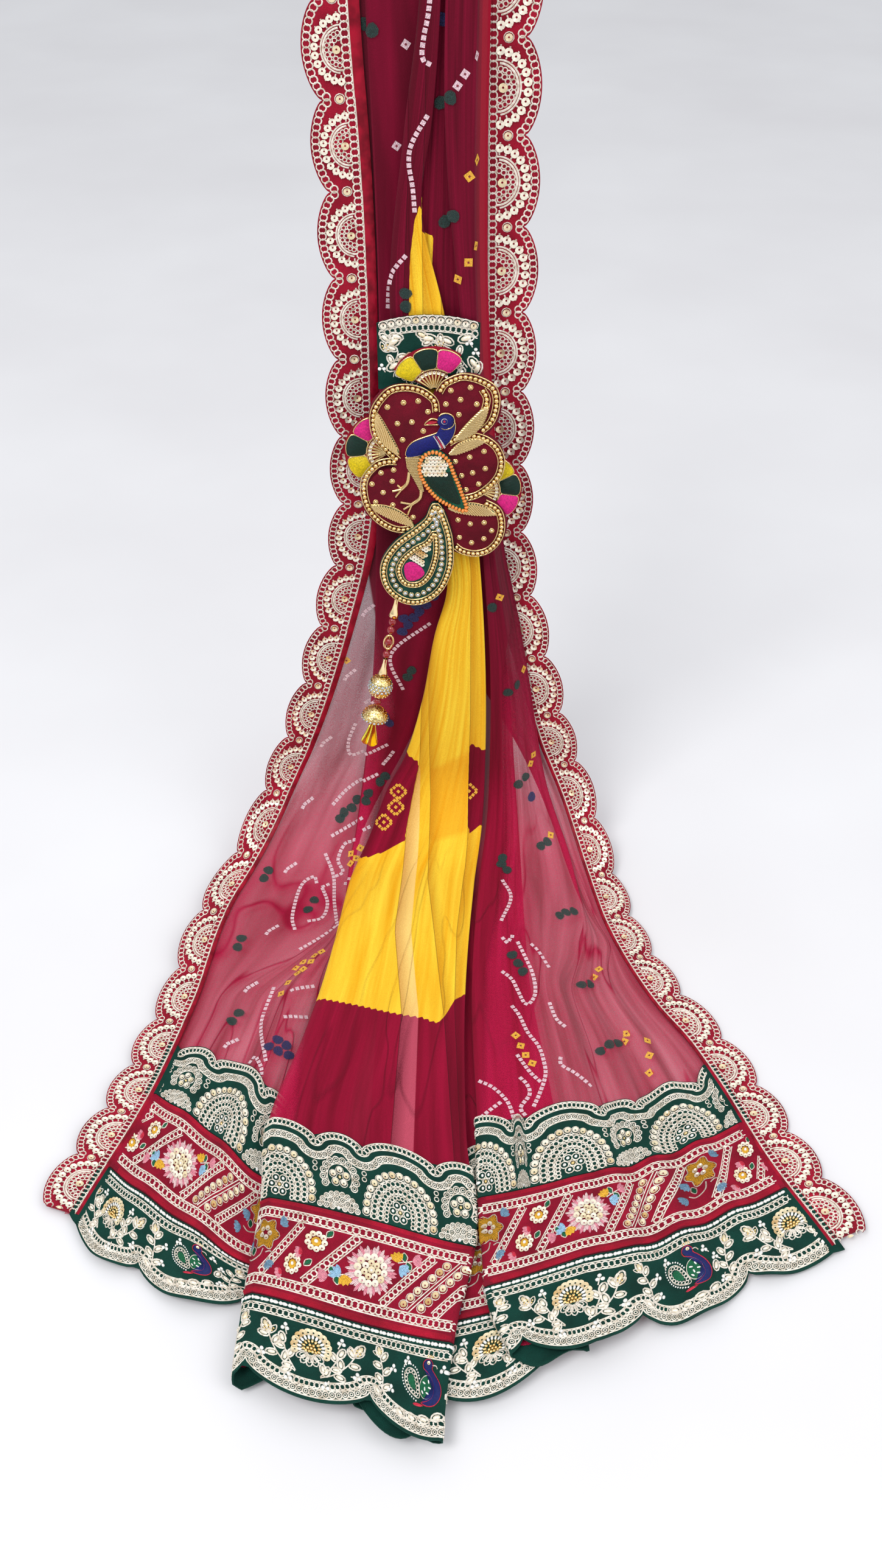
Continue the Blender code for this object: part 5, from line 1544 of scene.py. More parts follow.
def hem_repeat():
    """Bugle beads and a chain above, two chains along the scallops, a daisy and a peacock between sprigs."""
    work = Work()
    pen = Pen(work)
    for x in (np.arange(27) + 0.5) * REPEAT / 27:
        pen.bead(x - 1.3, 2.6, 1.05, "pearl", 0, 1.7)
        pen.bead(x + 1.7, 2.6, 1.15, "pearl")
    rail(pen, 8, 1.9, 3.3, 2.7)
    for first in (0, HEM_REPEAT):
        outline = crests((HEM_REPEAT,), 41, (13,)) + (first, 0)
        for distance in (1.0, 5.9, 10.1):
            pen.cord("cord", inset(outline, distance, -1))
        pen.ringed(inset(outline, 3.5, -1), 3.7, 1.9, 0.8)
        pen.chain(inset(outline, 8.0, -1), 1.6, 2.9)
    daisy(pen, 35, 25)
    for side in (-1, 1):
        at = 35 + side * np.array([0, 7, 14, 21, 25])
        sprig(pen, [(at[1], 41), (at[2], 37), (at[3], 29), (at[4], 21)], 5)
        sprig(pen, [(at[1], 40.5), (at[2] - side * 1.5, 33), (at[2] + side * 1.5, 26)], 3, 5.0)
        tulip(pen, at[4] - side * 1.0, 22.5, -1.57 + side * 0.2, 0.9)
        for dx, y, stem in ((16, 16, (-1.5, 4.5)), (27, 34, (-3.5, 1.0)), (10.5, 45, (1.5, -3.5))):
            pearls(pen, 35 + side * dx, y, (side * stem[0], stem[1]))
    hem_peacock(pen, 108, 27.5)
    for side, base in ((-1, 78), (1, 130)):
        sprig(pen, [(base + side * 1, 42), (base, 34), (base + side * 1.0, 26), (base + side * 4, 18)], 6)
        tulip(pen, base + side * 4.5, 17, -1.57 + side * 0.5, 0.7)
        pearls(pen, base - side * 6, 22, (side * 3.5, 3.0))
    for x, y, turn in ((88, 43, 0.5), (96, 44.5, 0.25), (104, 44.5, 0.0), (113, 43, -0.4), (121, 32, -1.2)):
        loop(pen, x, y, turn, 6.4)
    for x, y, stem in ((124, 38, (2.5, -3.5)), (84, 34, (-3, 1.5)), (118, 16, (3, 2.5)), (93, 15, (-2, 3.5))):
        pearls(pen, x, y, stem)
    return work


def lay_on_band(unit, repeat, places, band, border, whole):
    """Repeats a pattern along one band and lays it on the border where it shows."""
    pattern, along = np.array(places, float).T
    for start in np.arange(math.floor(pattern[0] / repeat), math.ceil(pattern[-1] / repeat)) * repeat:
        def surface(points):
            where = np.interp(points[:, 0] + start, pattern, along)
            keep = np.zeros(len(points), bool)
            for low, high in SHOWN:
                keep |= (where > low) & (where < high)
            row = max(band, 1) + points[:, 1] * MM / border.HEIGHTS[band]
            return border.at(where * CM, row, BAND_FACE + points[:, 2] * MM), keep
        unit.laid(surface, whole, mirrored=True)


def embroider_border(border, looks):
    whole = Work()
    lay_on_band(top_repeat(), WIDE + NARROW, TOP_PLACES, 0, border, whole)
    lay_on_band(middle_repeat(), REPEAT, MIDDLE_PLACES, 1, border, whole)
    lay_on_band(hem_repeat(), 2 * HEM_REPEAT, HEM_PLACES, 2, border, whole)
    return whole.build("border", looks)


# The strap and the brooch, drawn in mm on the wall's plane: x across the cloth, y down from its top edge

STRAP_FACE, PETAL_FACE, BODY_BACK, BODY_FACE = 25.7, 27.4, 27.7, 32.2
STRAP_TOP, STRAP_END, STRAP_SIDES = 229.0, 276.0, (-38.5, 23.5)
# Looped leaves on the strap: their length, and for each its foot and the way it points
STRAP_LEAVES = (
    (8.6, ((-24, 243, 2.6), (-13, 243, 0.1), (-18, 253, 1.8), (10, 245, -0.3), (17, 255, 1.0),
           (-33, 264, -0.6), (-24, 262, 0.8), (20, 268, -1.2))),
    (7.2, ((-31, 241, 0.3), (0, 243, 0.5), (14, 262, 2.0), (-10, 256, 2.6))),
)
# The brooch's body as overlapping rounds (x, y, radius), and what is sewn to it
BODY_CENTRE = (-4, 332)
BODY_LOBES = [(-23, 293, 21.8), (15.5, 286, 21.8), (21, 322, 19), (20.5, 369, 22.6), (-28.5, 349.5, 22.4),
              (-9, 380, 19), (-4, 325, 26)]
BEAD_ROWS = [
    [(-3, 288), (-4, 281), (-9, 276), (-15, 273), (-23, 272), (-31, 274), (-37, 280), (-41, 287),
     (-42, 295), (-41, 303), (-37, 310), (-32, 316), (-27, 321)], [(-1, 275), (2, 270), (7, 267),
     (13, 265), (20, 266), (27, 269), (32, 273), (34, 280), (33, 289), (30, 296), (25, 301)], [(25, 273),
     (28, 279), (27, 286), (24, 292)], [(5, 309), (10, 306), (17, 304), (24, 305), (30, 308), (35, 313),
     (38, 321), (37, 330), (33, 337), (28, 342), (22, 346), (15, 348)], [(28, 351), (36, 356), (39, 364),
     (39, 373), (36, 381), (30, 387), (22, 389), (14, 387), (9, 383)], [(-28, 322), (-34, 322),
     (-40, 324), (-46, 330), (-49, 337), (-49, 346), (-47, 354), (-43, 361), (-38, 366), (-31, 370),
     (-24, 371), (-17, 369)],
]
STUDS = [(-33, 285), (-23, 282), (-14, 281), (-8, 288), (-27, 296), (-18, 295), (-11, 301), (-24, 307),
         (6, 274), (18, 272), (3, 283), (12, 280), (22, 283), (11, 290), (27, 315), (18, 319), (9, 322),
         (28, 327), (20, 330), (13, 332), (24, 338), (16, 342), (-44, 338), (-38, 330), (-30, 328),
         (-31, 336), (-37, 344), (-42, 351), (-31, 353), (-18, 362), (11, 364), (19, 367), (28, 366),
         (33, 372), (12, 377), (20, 381), (28, 378)]
LEAF_SHAPES = [((-40, 288), (-26, 317), 7.5, 2.5), ((29, 284), (9, 307), 8.0, -2.0),
               ((5, 317), (28, 307), 7.0, -1.5), ((-46, 353), (-17, 368), 8.0, -1.5),
               ((4, 355), (36, 359), 8.5, -1.5)]
FANS = [
    ((-4, 276), ((-139, "floss_yellow"), (-103, "floss_bottle"), (-67, "floss_magenta"))),
    ((-33, 318), ((-131, "floss_magenta"), (-168, "floss_bottle"), (-206, "floss_yellow"))),
    ((24, 345), ((-46, "floss_yellow"), (-10, "floss_bottle"), (26, "floss_magenta"))),
]
NECK = [(8.4, 294), (8.6, 301), (5.4, 308), (0, 313), (-6, 315.5), (-13, 317.5), (-21.5, 318.5), (-21.5, 313),
        (-18, 308.5), (-12, 305.5), (-5, 303), (-0.5, 300.5), (0.5, 297), (2.5, 292)]
EYE = (2.2, 293.4)
LEGS = (([(-20, 329), (-21.4, 337), (-25, 341.5)], [(-31, 343), (-29, 347), (-28, 338.5)]),
        ([(-12.6, 341), (-13.4, 348), (-18.6, 352.5)], [(-26, 351), (-24, 356), (-21.5, 360)]))
WING_GREEN = [(-9.6, 331.5), (-2, 330.4), (5.4, 327.6), (8.2, 336), (12.6, 350.5), (4, 347.6), (-4.6, 340.8)]
WING = [(-4, 314), (-11, 317), (-13.5, 324), (-12, 332), (-7, 341), (1, 349), (16, 355.5), (12.5, 341),
        (8, 329), (4, 319)]
PAISLEY = [(-3, 352), (-8, 362), (-16, 370), (-28, 380), (-36, 392), (-38, 404), (-34, 416), (-24, 424),
           (-12, 424), (-1, 415), (5, 400), (6, 386), (4, 370)]
PAISLEY_HEART = [(-4, 372), (-9, 379), (-17, 384), (-25, 392), (-28, 401), (-24, 410), (-15, 411), (-8, 404),
                 (-4, 392), (-3, 382)]


def on_wall(back):
    """Lays a drawing on a plane in front of the wall, its heights in mm from it."""
    def surface(points):
        x, y, z = points.T
        world = np.stack([x * MM - CENTRE, -(BACK + (back + z) * MM), -y * MM], 1)
        return world, np.ones(len(points), bool)
    return surface


def round_outline(centre, circles, steps):
    """The outer outline of overlapping circles, seen from a centre inside them."""
    outline = []
    for angle in turns(steps):
        ray = (math.cos(angle), math.sin(angle))
        reach = 0
        for x, y, radius in circles:
            dx, dy = x - centre[0], y - centre[1]
            nearest = dx * ray[0] + dy * ray[1]
            room = radius ** 2 - (dx * dx + dy * dy - nearest ** 2)
            if room > 0:
                reach = max(reach, nearest + math.sqrt(room))
        outline.append(around(*centre, reach, angle))
    return outline


def bead_row(pen, path, radius=1.45, closed=False):
    """Gold beads in a row between two twisted cords."""
    for x, y, turn in spaced(path, radius * 2.12, closed):
        pen.bead(x, y, radius, "gold_bead", 0.5, 1.0, turn)
    for off in (-radius - 0.6, radius + 0.6):
        row = shrunk(path, off) if closed else beside(path, off)
        pen.cord("bullion", row, 0.8, 1.0, closed)


def bullion_leaf(pen, base, tip, width, bend):
    """A padded leaf of slanted metal coils inside a cord."""
    base, tip = np.array(base, float), np.array(tip, float)
    length = np.linalg.norm(tip - base)
    ahead = (tip - base) / length
    side = np.array([-ahead[1], ahead[0]])

    def at(t, share):
        swell = math.sin(math.pi * min(max(t, 0), 1))
        return base + ahead * length * t + side * (bend * swell + share * width / 2 * swell ** 0.7)

    outline = [at(t, 1) for t in np.linspace(0, 1, 11)] + [at(t, -1) for t in np.linspace(1, 0, 11)[1:-1]]
    pen.plate("wing_cloth", outline, 0.1, 1.2, 0.7)
    slant = 0.55 * width / length
    for t in np.arange(0.05, 0.97, 1.75 / length):
        shares = (-0.95, -0.5, 0, 0.5, 0.95)
        path = [at(min(max(t + slant * share, 0.02), 0.98), share) for share in shares]
        pen.cord("bullion", path, 1.7, 1.5, lift=0.9)
    pen.cord("bullion", outline, 0.8, 1.2, closed=True)


def petal_fans(pen):
    """Silk petals around fans of metal rays, three to a fan, on red cloth."""
    silk = smooth([(14.4, -4.3), (20, -6.7), (25.2, -7.0), (27.2, 0), (25.2, 7.0), (20, 6.7), (14.4, 4.3),
                   (14.2, 0)], 3, closed=True)
    for base, petals in FANS:
        at = pen.at(*base)
        angles = [angle for angle, _ in petals]
        low, high = min(angles), max(angles)
        outline = np.concatenate([arc((0, 0), (27.9, 27.9), low - 13, high + 13),
                                  arc((0, 0), (2, 2), high + 40, low - 40)])
        at.plate("petal_cloth", outline, -1.2, 0.2, 0.4, around(0, 0, 16, math.radians((low + high) / 2)))
        for angle, kind in petals:
            turned = at.at(0, 0, math.radians(angle))
            turned.patch(kind, silk, 2.2, 0.8)
            turned.cord("bullion", silk, 0.8, 1.2, closed=True)
        for angle in np.arange(low - 8, high + 9, 12.5):
            ray = at.at(0, 0, math.radians(angle))
            ray.cord("bullion", [(2.4, 0), (8, 0), (13.2, 0)], 1.4, 1.8)
            ray.sequin(11.8, 1.4, 1.1, "sequin", 0.6)
        at.cord("bullion", arc((0, 0), (13.8, 13.8), low - 12, high + 12), 0.9, 1.4)


def peacock(pen):
    """Silk head and neck, metal belly and legs, and the drop-shaped wing."""
    neck = smooth(NECK, 3, closed=True)
    pen.patch("floss_royal", neck, 2.3, 0.8, 0.35)
    pen.patch("floss_royal", arc((3, 293.6), (5.3, 5.2), 0, 345), 2.8, 0.9, 0.8)
    pen.cord("bullion", neck, 0.7, 1.4, closed=True)
    pen.at(0, 0, up=1.2).cord("bullion", arc((3, 293.6), (5.5, 5.4), -140, 120), 0.7, 1.2)
    pen.at(0, 0, up=2.2).ring(*EYE, 1.9, "floss_white")
    pen.at(0, 0, up=2.4).bead(*EYE, 1.0, "floss_red", tall=0.5)
    pen.petal("floss_red", -1.6, 294.6, 8.6, 2.2, math.radians(172), 1.3)
    beak = [(-1.8, 293.2), (-6, 292.4), (-10.4, 296.2), (-6.2, 296.3), (-1.8, 296.4)]
    pen.cord("bullion", smooth(beak, 3), 0.8, 1.6)
    for off, kind in ((-1.3, "floss_white"), (0, "floss_red"), (1.3, "floss_white")):
        band = [(-3.4 + off, 303.4), (-1.2 + off, 307), (1.0 + off, 311.6)]
        pen.at(0, 0, up=1.7).cord(kind, band, 1.2, 1.0)
    for y in np.arange(319.4, 343, 1.15):
        left = np.interp(y, (319, 326, 334, 340, 343), (-22.4, -21.6, -17.4, -14.6, -13.4))
        right = np.interp(y, (319, 326, 334, 343), (-12.2, -13.4, -12.6, -10.8))
        pen.cord("bullion", [(left, y), ((left + right) / 2, y), (right, y)], 1.25, 1.7)
    for path, toes in LEGS:
        pen.cord("bullion", smooth(path), 2.3, 1.8)
        for toe in toes:
            pen.cord("bullion", [path[-1], toe], 1.3, 1.4)
    edge = smooth(WING, 6, closed=True)
    pen.plate("wing_cloth", shrunk(edge, -1.2), 0.2, 3.0, 0.8, (-1, 331))
    top = pen.at(0, 0, up=3.0)
    top.patch("floss_bottle", smooth(WING_GREEN, 3, closed=True), 1.0, 0.2, 0.5)
    for row, y in enumerate(np.arange(317.6, 330.5, 2.3)):
        half = np.interp(y, (316, 322, 331), (3.0, 7.6, 7.4))
        middle = np.interp(y, (316, 331), (-4.4, -3.2))
        for x in np.arange(-half + 1.2 * (row % 2), half, 2.5):
            top.sequin(middle + x, y, 1.5, "sequin", 0.2 + 0.25 * (row % 2))
    for x, y, turn in spaced(edge, 2.35, closed=True):
        top.bead(x, y, 1.5, "orange_bead", 0.0, 0.72, turn)


def paisley(pen):
    """Rows of beads around a green band of set stones and a heart of sequins and silk."""
    outer = smooth(PAISLEY, 6, closed=True)
    pen.plate("bottle_satin", shrunk(outer, -2.6), 0.2, 3.0, 1.0, (-15, 396))
    top = pen.at(0, 0, up=2.9)
    bead_row(top, outer, closed=True)
    bead_row(top, smooth(PAISLEY_HEART, 6, closed=True), 1.2, closed=True)
    for x, y, _ in spaced(shrunk(outer, 5.4), 4.3, closed=True):
        top.ring(x, y, 1.6, "bullion", wire=0.6)
        top.bead(x, y, 1.4, "stone", 0.3)
    silk = [(-24.2, 396.6), (-19, 393.6), (-12.6, 398.4), (-11.2, 403.6), (-17, 408.0), (-23, 407)]
    top.patch("floss_magenta", smooth(silk, 3, closed=True), 1.2, 0.2, 0.9)
    for row, t in enumerate(np.linspace(0, 1, 7)):
        centre = np.array((-15.8, 393.0)) * (1 - t) + np.array((-7.0, 380.5)) * t
        reach = 4.4 * (1 - t) + 0.8 * t
        for off in np.arange(-reach, reach + 0.1, 2.2):
            kind = ("sequin", "gold_sequin")[(row + int(off)) % 2]
            place = centre + (off * 0.8, off * 0.6 + row % 2 * 0.5)
            top.sequin(*place, 1.4, kind, 0.3 + 0.2 * (row % 2))


def build_brooch(looks):
    """The brooch's kinds of material as objects, by name."""
    flat, raised = Work(), Work()
    petal_fans(Pen(flat))
    pen = Pen(raised)
    back = BODY_BACK - BODY_FACE
    pen.plate("body_velvet", round_outline(BODY_CENTRE, BODY_LOBES, 200), back, 0, 1.5, BODY_CENTRE)
    pen.plate("body_velvet", arc((21.5, 343.5), (6.5, 4), 0, 345), back, -0.4, 0.5)
    for row in BEAD_ROWS:
        bead_row(pen, smooth(row))
    for x, y in STUDS:
        pen.ring(x, y, 1.5, "bullion", wire=0.7)
        pen.bead(x, y, 1.25, "gold_bead", 0.2, tall=0.8)
    for shape in LEAF_SHAPES:
        bullion_leaf(pen, *shape)
    peacock(pen)
    paisley(pen)
    whole = Work()
    flat.laid(on_wall(PETAL_FACE), whole, mirrored=True)
    raised.laid(on_wall(BODY_FACE), whole, mirrored=True)
    return {piece.name: piece for piece in whole.build("brooch", looks)}


def strap_edge(x):
    left, right = STRAP_SIDES
    return STRAP_TOP + 5 * (2 * (x - left) / (right - left) - 1) ** 2


def build_strap(cloth_look, looks):
    """The gathered green patch: its cloth, and its sequins, chain and looped leaves."""
    across = np.linspace(*STRAP_SIDES, 40)
    surface = on_wall(STRAP_FACE)

    def row(t, lift):
        y = strap_edge(across) * (1 - t) + STRAP_END * t
        ripple = 0.25 * np.sin(across * 0.9 + t * 3) * t
        return surface(np.stack([across, y, lift + ripple], 1))[0]

    grids = [np.array([row(t, lift) for t in np.linspace(0, 1, 12)]) for lift in (0, -1.0)]
    cloth = solid_sheet("strap_cloth", *grids, cloth_look)
    work = Work()
    pen = Pen(work)
    edge = np.stack([across, strap_edge(across)], 1)[1:-1]
    for x, y, _ in spaced(edge + (0, 2.8), 5.0):
        looped_sequin(pen, x, y, size=2.0)
        pen.cord("cord", arc((x, y), (2.9, 2.9), 190, 350), 0.6)
    pen.chain(edge + (0, 7.6), 1.9, 3.4)
    for off in (0.3, 5.3, 10.0):
        pen.cord("cord", edge + (0, off), 0.7)
    sprig(pen, [(-30, 262), (-26, 252), (-31, 246)], 3, 5.4)
    sprig(pen, [(16, 262), (8, 252), (-2, 246), (-8, 243)], 5)
    tulip(pen, -34, 252, -1.2, 0.9)
    tulip(pen, 0, 250, -1.9, 0.9)
    for length, leaves in STRAP_LEAVES:
        for x, y, turn in leaves:
            loop(pen, x, y, turn, length)
    for x, y in ((-22, 268), (-8, 262), (8, 266)):
        pen.cord("cord", arc((x, y), (7, 7), 180, 360))
        pen.chain(arc((x, y), (4.8, 4.8), 180, 360), 1.2, 2.4)
    for x, y in ((17, 246), (-36, 262), (21, 252)):
        pearls(pen, x, y, (2, 3))
    daisy(pen, -16, 263)
    whole = Work()
    work.laid(surface, whole, mirrored=True)
    return cloth, whole.build("strap", looks)


# The pendant, a line of beads: (across, run, lift) of its ends in cm and mm, profiles as (distance, radius)
# in cm, and the starts of its pieces along it

PENDANT_LINE = ((-2.98, 42.33, 34.5), (-5.2, 54.9, 34.5))
CONE = [(0.0, 0.14), (0.3, 0.14), (0.7, 0.18), (1.1, 0.28), (1.35, 0.34), (1.42, 0.2)]
SEED = [(0.0, 0.06), (0.06, 0.16), (0.16, 0.23), (0.3, 0.26), (0.44, 0.23), (0.54, 0.16), (0.6, 0.06)]
BALL = [(0.0, 0.2), (0.1, 0.42), (0.28, 0.62), (0.55, 0.77), (0.875, 0.82), (1.2, 0.77), (1.47, 0.62),
        (1.65, 0.42), (1.75, 0.2)]
CAP = [(0.0, 0.1), (0.04, 0.22), (0.18, 0.48), (0.4, 0.72), (0.64, 0.86), (0.88, 0.95), (0.94, 0.88),
       (0.8, 0.7)]
CAP_START = 9.2
CONE_STARTS, BEAD_STARTS, BALL_START = (0.0, 4.96), (1.53, 2.21, 3.24, 4.28, 8.42), 6.49
THREAD_LENGTH, DROP_LENGTH = 10.2, 2.2
RING_STEPS, WIRE_SIDES, BALL_STONES = 36, 8, 18


def pendant_frame():
    """The pendant's start, its way down and two directions square to it."""
    ends = [np.array((across * CM - CENTRE, -(BACK + lift * MM), -run * CM))
            for across, run, lift in PENDANT_LINE]
    down = (ends[1] - ends[0]) / np.linalg.norm(ends[1] - ends[0])
    side = np.cross(down, (0, 1, 0))
    return ends[0], down, side / np.linalg.norm(side), np.array((0, 1.0, 0))


def turned(work, kind, distance, profile, sides=24):
    """A turned piece: (distance, radius) pairs in cm."""
    start, down, side, depth = pendant_frame()
    angle = turns(sides)
    ring = np.outer(np.cos(angle), side) + np.outer(np.sin(angle), depth)
    points = np.concatenate([start + down * (distance + d) * CM + ring * radius * CM
                             for d, radius in profile])
    work.add(kind, points, belts(sides, len(profile))[:, [0, 3, 2, 1]], (), 0.0)


def stone(work, kind, distance, radius, angle, size):
    """A small faceted stone set around the pendant's line, all lengths in cm."""
    start, down, side, depth = pendant_frame()
    out = side * math.cos(angle) + depth * math.sin(angle)
    centre = start + (down * distance + out * radius) * CM
    circle = CIRCLE[::2] * size * CM
    rim = np.outer(circle[:, 0], down) + np.outer(circle[:, 1], np.cross(out, down))
    points = np.concatenate([centre + rim, centre + out * size * 0.6 * CM + rim * 0.5,
                             [centre + out * size * 0.7 * CM]])
    count = len(circle)
    work.add(kind, points, belts(count, 2), cone(count, count, 2 * count), angle % 1)


def oval_ring(work, distance, length, half_width, wire):
    """A ring of round gold wire lying flat in the pendant's line, all lengths in cm."""
    start, down, side, depth = pendant_frame()
    middle = start + down * (distance + length / 2) * CM
    points = []
    for angle in turns(RING_STEPS):
        out = down * math.cos(angle) + side * math.sin(angle)
        core = down * math.cos(angle) * (length / 2 - wire) + side * math.sin(angle) * (half_width - wire)
        for turn in turns(WIRE_SIDES):
            points.append(middle + (core + (out * math.cos(turn) + depth * math.sin(turn)) * wire) * CM)
    k, j = np.meshgrid(np.arange(RING_STEPS), np.arange(WIRE_SIDES), indexing="ij")
    here, after = k * WIRE_SIDES, (k + 1) % RING_STEPS * WIRE_SIDES
    beyond = (j + 1) % WIRE_SIDES
    quads = np.stack([here + j, here + beyond, after + beyond, after + j], -1).reshape(-1, 4)
    work.add("gold", np.array(points), quads, (), 0.0)


def build_pendant(looks):
    """Cones, red beads, a ring, a jewelled ball, a jewelled cap and two drops, by material."""
    work = Work()
    for distance in CONE_STARTS:
        turned(work, "gold", distance, CONE)
    for distance in BEAD_STARTS:
        turned(work, "red_bead", distance, SEED)
    oval_ring(work, 2.89, 1.31, 0.38, 0.09)
    turned(work, "thread", 0.0, [(0, 0.035), (THREAD_LENGTH, 0.035)], 8)
    turned(work, "ball", BALL_START, BALL)
    for distance, radius, shift in ((0.5, 0.75, 0), (0.72, 0.8, 0.5), (0.94, 0.82, 0)):
        for k in range(BALL_STONES):
            angle = (k + shift) * 2 * math.pi / BALL_STONES
            stone(work, "stone", BALL_START + distance, radius, angle, 0.11)
    for angle in turns(16):
        for distance, radius in ((0.1, 0.43), (0.26, 0.61), (1.2, 0.77), (1.42, 0.66)):
            stone(work, "gold", BALL_START + distance, radius, angle, 0.07)
    turned(work, "cap", CAP_START, CAP)
    for angle in turns(20):
        stone(work, "stone", CAP_START + 0.86, 0.93, angle, 0.1)
        for distance, radius in ((0.22, 0.53), (0.43, 0.75), (0.65, 0.87)):
            stone(work, "gold", CAP_START + distance, radius, angle + distance, 0.07)
    oval_ring(work, 10.1, 0.42, 0.17, 0.04)
    start, down, side, _ = pendant_frame()
    top = start + down * THREAD_LENGTH * CM
    flat = Work()
    for lean, lift in ((-0.24, 33.1), (0.16, 34.9)):
        tip = start + down * (THREAD_LENGTH + DROP_LENGTH) * CM + side * lean * CM
        bulb, hung = (((point[0] + CENTRE) / MM, -point[2] / MM) for point in (tip, top))
        Pen(flat).plate("drop", round_drop(bulb, 3.9, hung), lift - 0.8, lift + 0.9, 0.9)
    flat.laid(on_wall(0), work, mirrored=True)
    return {piece.name: piece for piece in work.build("pendant", looks)}


def round_drop(bulb, radius, tip):
    """A drop: round around its bulb, its flanks drawn in to the tip."""
    bulb, tip = np.array(bulb), np.array(tip)
    length = np.linalg.norm(tip - bulb)
    toward = math.atan2(tip[1] - bulb[1], tip[0] - bulb[0])
    open_angle = math.acos(radius / length)
    angles = toward + open_angle + (2 * math.pi - 2 * open_angle) * np.linspace(0, 1, 28)
    round_part = np.stack([bulb[0] + radius * np.cos(angles), bulb[1] + radius * np.sin(angles)], 1)
    return np.concatenate([[tip], round_part])


# The stage: floor, light and camera

FLOOR_REACH = 6.0
LIT_PLACE = (0, -0.15, -0.45)


def build_stage():
    corners = square(2 * FLOOR_REACH)
    level = -DROP - 0.5 * MM
    floor = add_object("floor", [(x, y, level) for x, y in corners], [(0, 1, 2, 3)], look=floor_look())


def build_lights():
    world = bpy.data.worlds.new("soft_studio")
    world.use_nodes = True
    nodes, links = world.node_tree.nodes, world.node_tree.links
    height = nodes.new("ShaderNodeSeparateXYZ")
    links.new(nodes.new("ShaderNodeTexCoord").outputs["Generated"], height.inputs[0])
    sky = nodes.new("ShaderNodeMapRange")
    for name, value in (("From Min", 0.0), ("From Max", 0.9), ("To Min", 0.50), ("To Max", 0.92)):
        sky.inputs[name].default_value = value
    links.new(height.outputs["Z"], sky.inputs["Value"])
    links.new(sky.outputs["Result"], nodes["Background"].inputs["Strength"])
    nodes["Background"].inputs["Color"].default_value = (0.95, 0.97, 1.0, 1)
    bpy.context.scene.world = world
    for name, place, size, watts in (("key", (-0.9, -1.3, 1.5), 1.0, 31),
                                     ("fill", (1.4, -1.2, 0.9), 1.6, 14)):
        lamp = bpy.data.lights.new(name, "AREA")
        lamp.size, lamp.energy = size, watts
        made = bpy.data.objects.new(name, lamp)
        made.location = place
        made.rotation_euler = (Vector(LIT_PLACE) - Vector(place)).to_track_quat("-Z", "Y").to_euler()
        bpy.context.collection.objects.link(made)


def build_camera():
    camera = bpy.data.objects.new("camera", bpy.data.cameras.new("camera"))
    camera.location = CAMERA_AT
    camera.rotation_euler = (math.pi / 2 - CAMERA_DOWN, 0, 0)
    camera.data.lens = CAMERA_LENS
    camera.data.sensor_width = SENSOR_LONG_SIDE
    camera.data.clip_start = 0.01
    bpy.context.collection.objects.link(camera)
    bpy.context.scene.camera = camera


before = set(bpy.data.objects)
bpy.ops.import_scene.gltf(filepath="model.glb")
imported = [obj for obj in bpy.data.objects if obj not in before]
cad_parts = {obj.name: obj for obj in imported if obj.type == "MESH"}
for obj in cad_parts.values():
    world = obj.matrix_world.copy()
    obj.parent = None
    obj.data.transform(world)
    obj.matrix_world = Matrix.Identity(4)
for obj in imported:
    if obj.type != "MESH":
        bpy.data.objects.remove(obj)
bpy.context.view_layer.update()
build_stage()
build_lights()
build_camera()
bpy.context.scene.view_settings.view_transform = "Standard"

GREEN_VELVET = velvet_look("green_velvet", (0.0015, 0.028, 0.020), (0.1, 0.7, 0.5))
RED_VELVET = velvet_look("red_velvet", (0.24, 0.004, 0.018), (1.0, 0.2, 0.25))
MAROON_SILK = velvet_look("maroon_silk", (0.20, 0.002, 0.016), (1.0, 0.2, 0.3))

ground = build_ground(georgette_look())
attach(ground, "root")
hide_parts("ground_cloth")

border = Border()
on_ground = list(build_bands(border, GREEN_VELVET, MAROON_SILK))
for piece, node, slot, width in zip(on_ground, ("border_top", "border_middle", "border_hem"),
                                    ("green_velvet", "maroon_silk", "green_velvet"), (0.056, 0.058, 0.055)):
    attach(piece, "root")
    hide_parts(node)

# Colours of the floss and of the dyed print
FLOSSES = (
    ("pink", (0.88, 0.30, 0.38)),
    ("blush", (0.95, 0.66, 0.66)),
    ("red", (0.72, 0.03, 0.07)),
    ("orange", (0.98, 0.52, 0.04)),
    ("blue", (0.36, 0.62, 0.86)),
    ("green", (0.006, 0.15, 0.06)),
    ("navy", (0.008, 0.018, 0.15)),
    ("yellow", (0.93, 0.70, 0.01)),
    ("magenta", (0.88, 0.02, 0.27)),
    ("bottle", (0.001, 0.028, 0.018)),
    ("royal", (0.008, 0.014, 0.19)),
    ("white", (0.85, 0.82, 0.78)),
)
PRINTS = (
    ("white", (0.88, 0.62, 0.68)),
    ("yellow", (0.95, 0.50, 0.05)),
    ("maroon", (0.25, 0.01, 0.03)),
    ("green", (0.012, 0.040, 0.034)),
    ("navy", (0.016, 0.020, 0.10)),
)
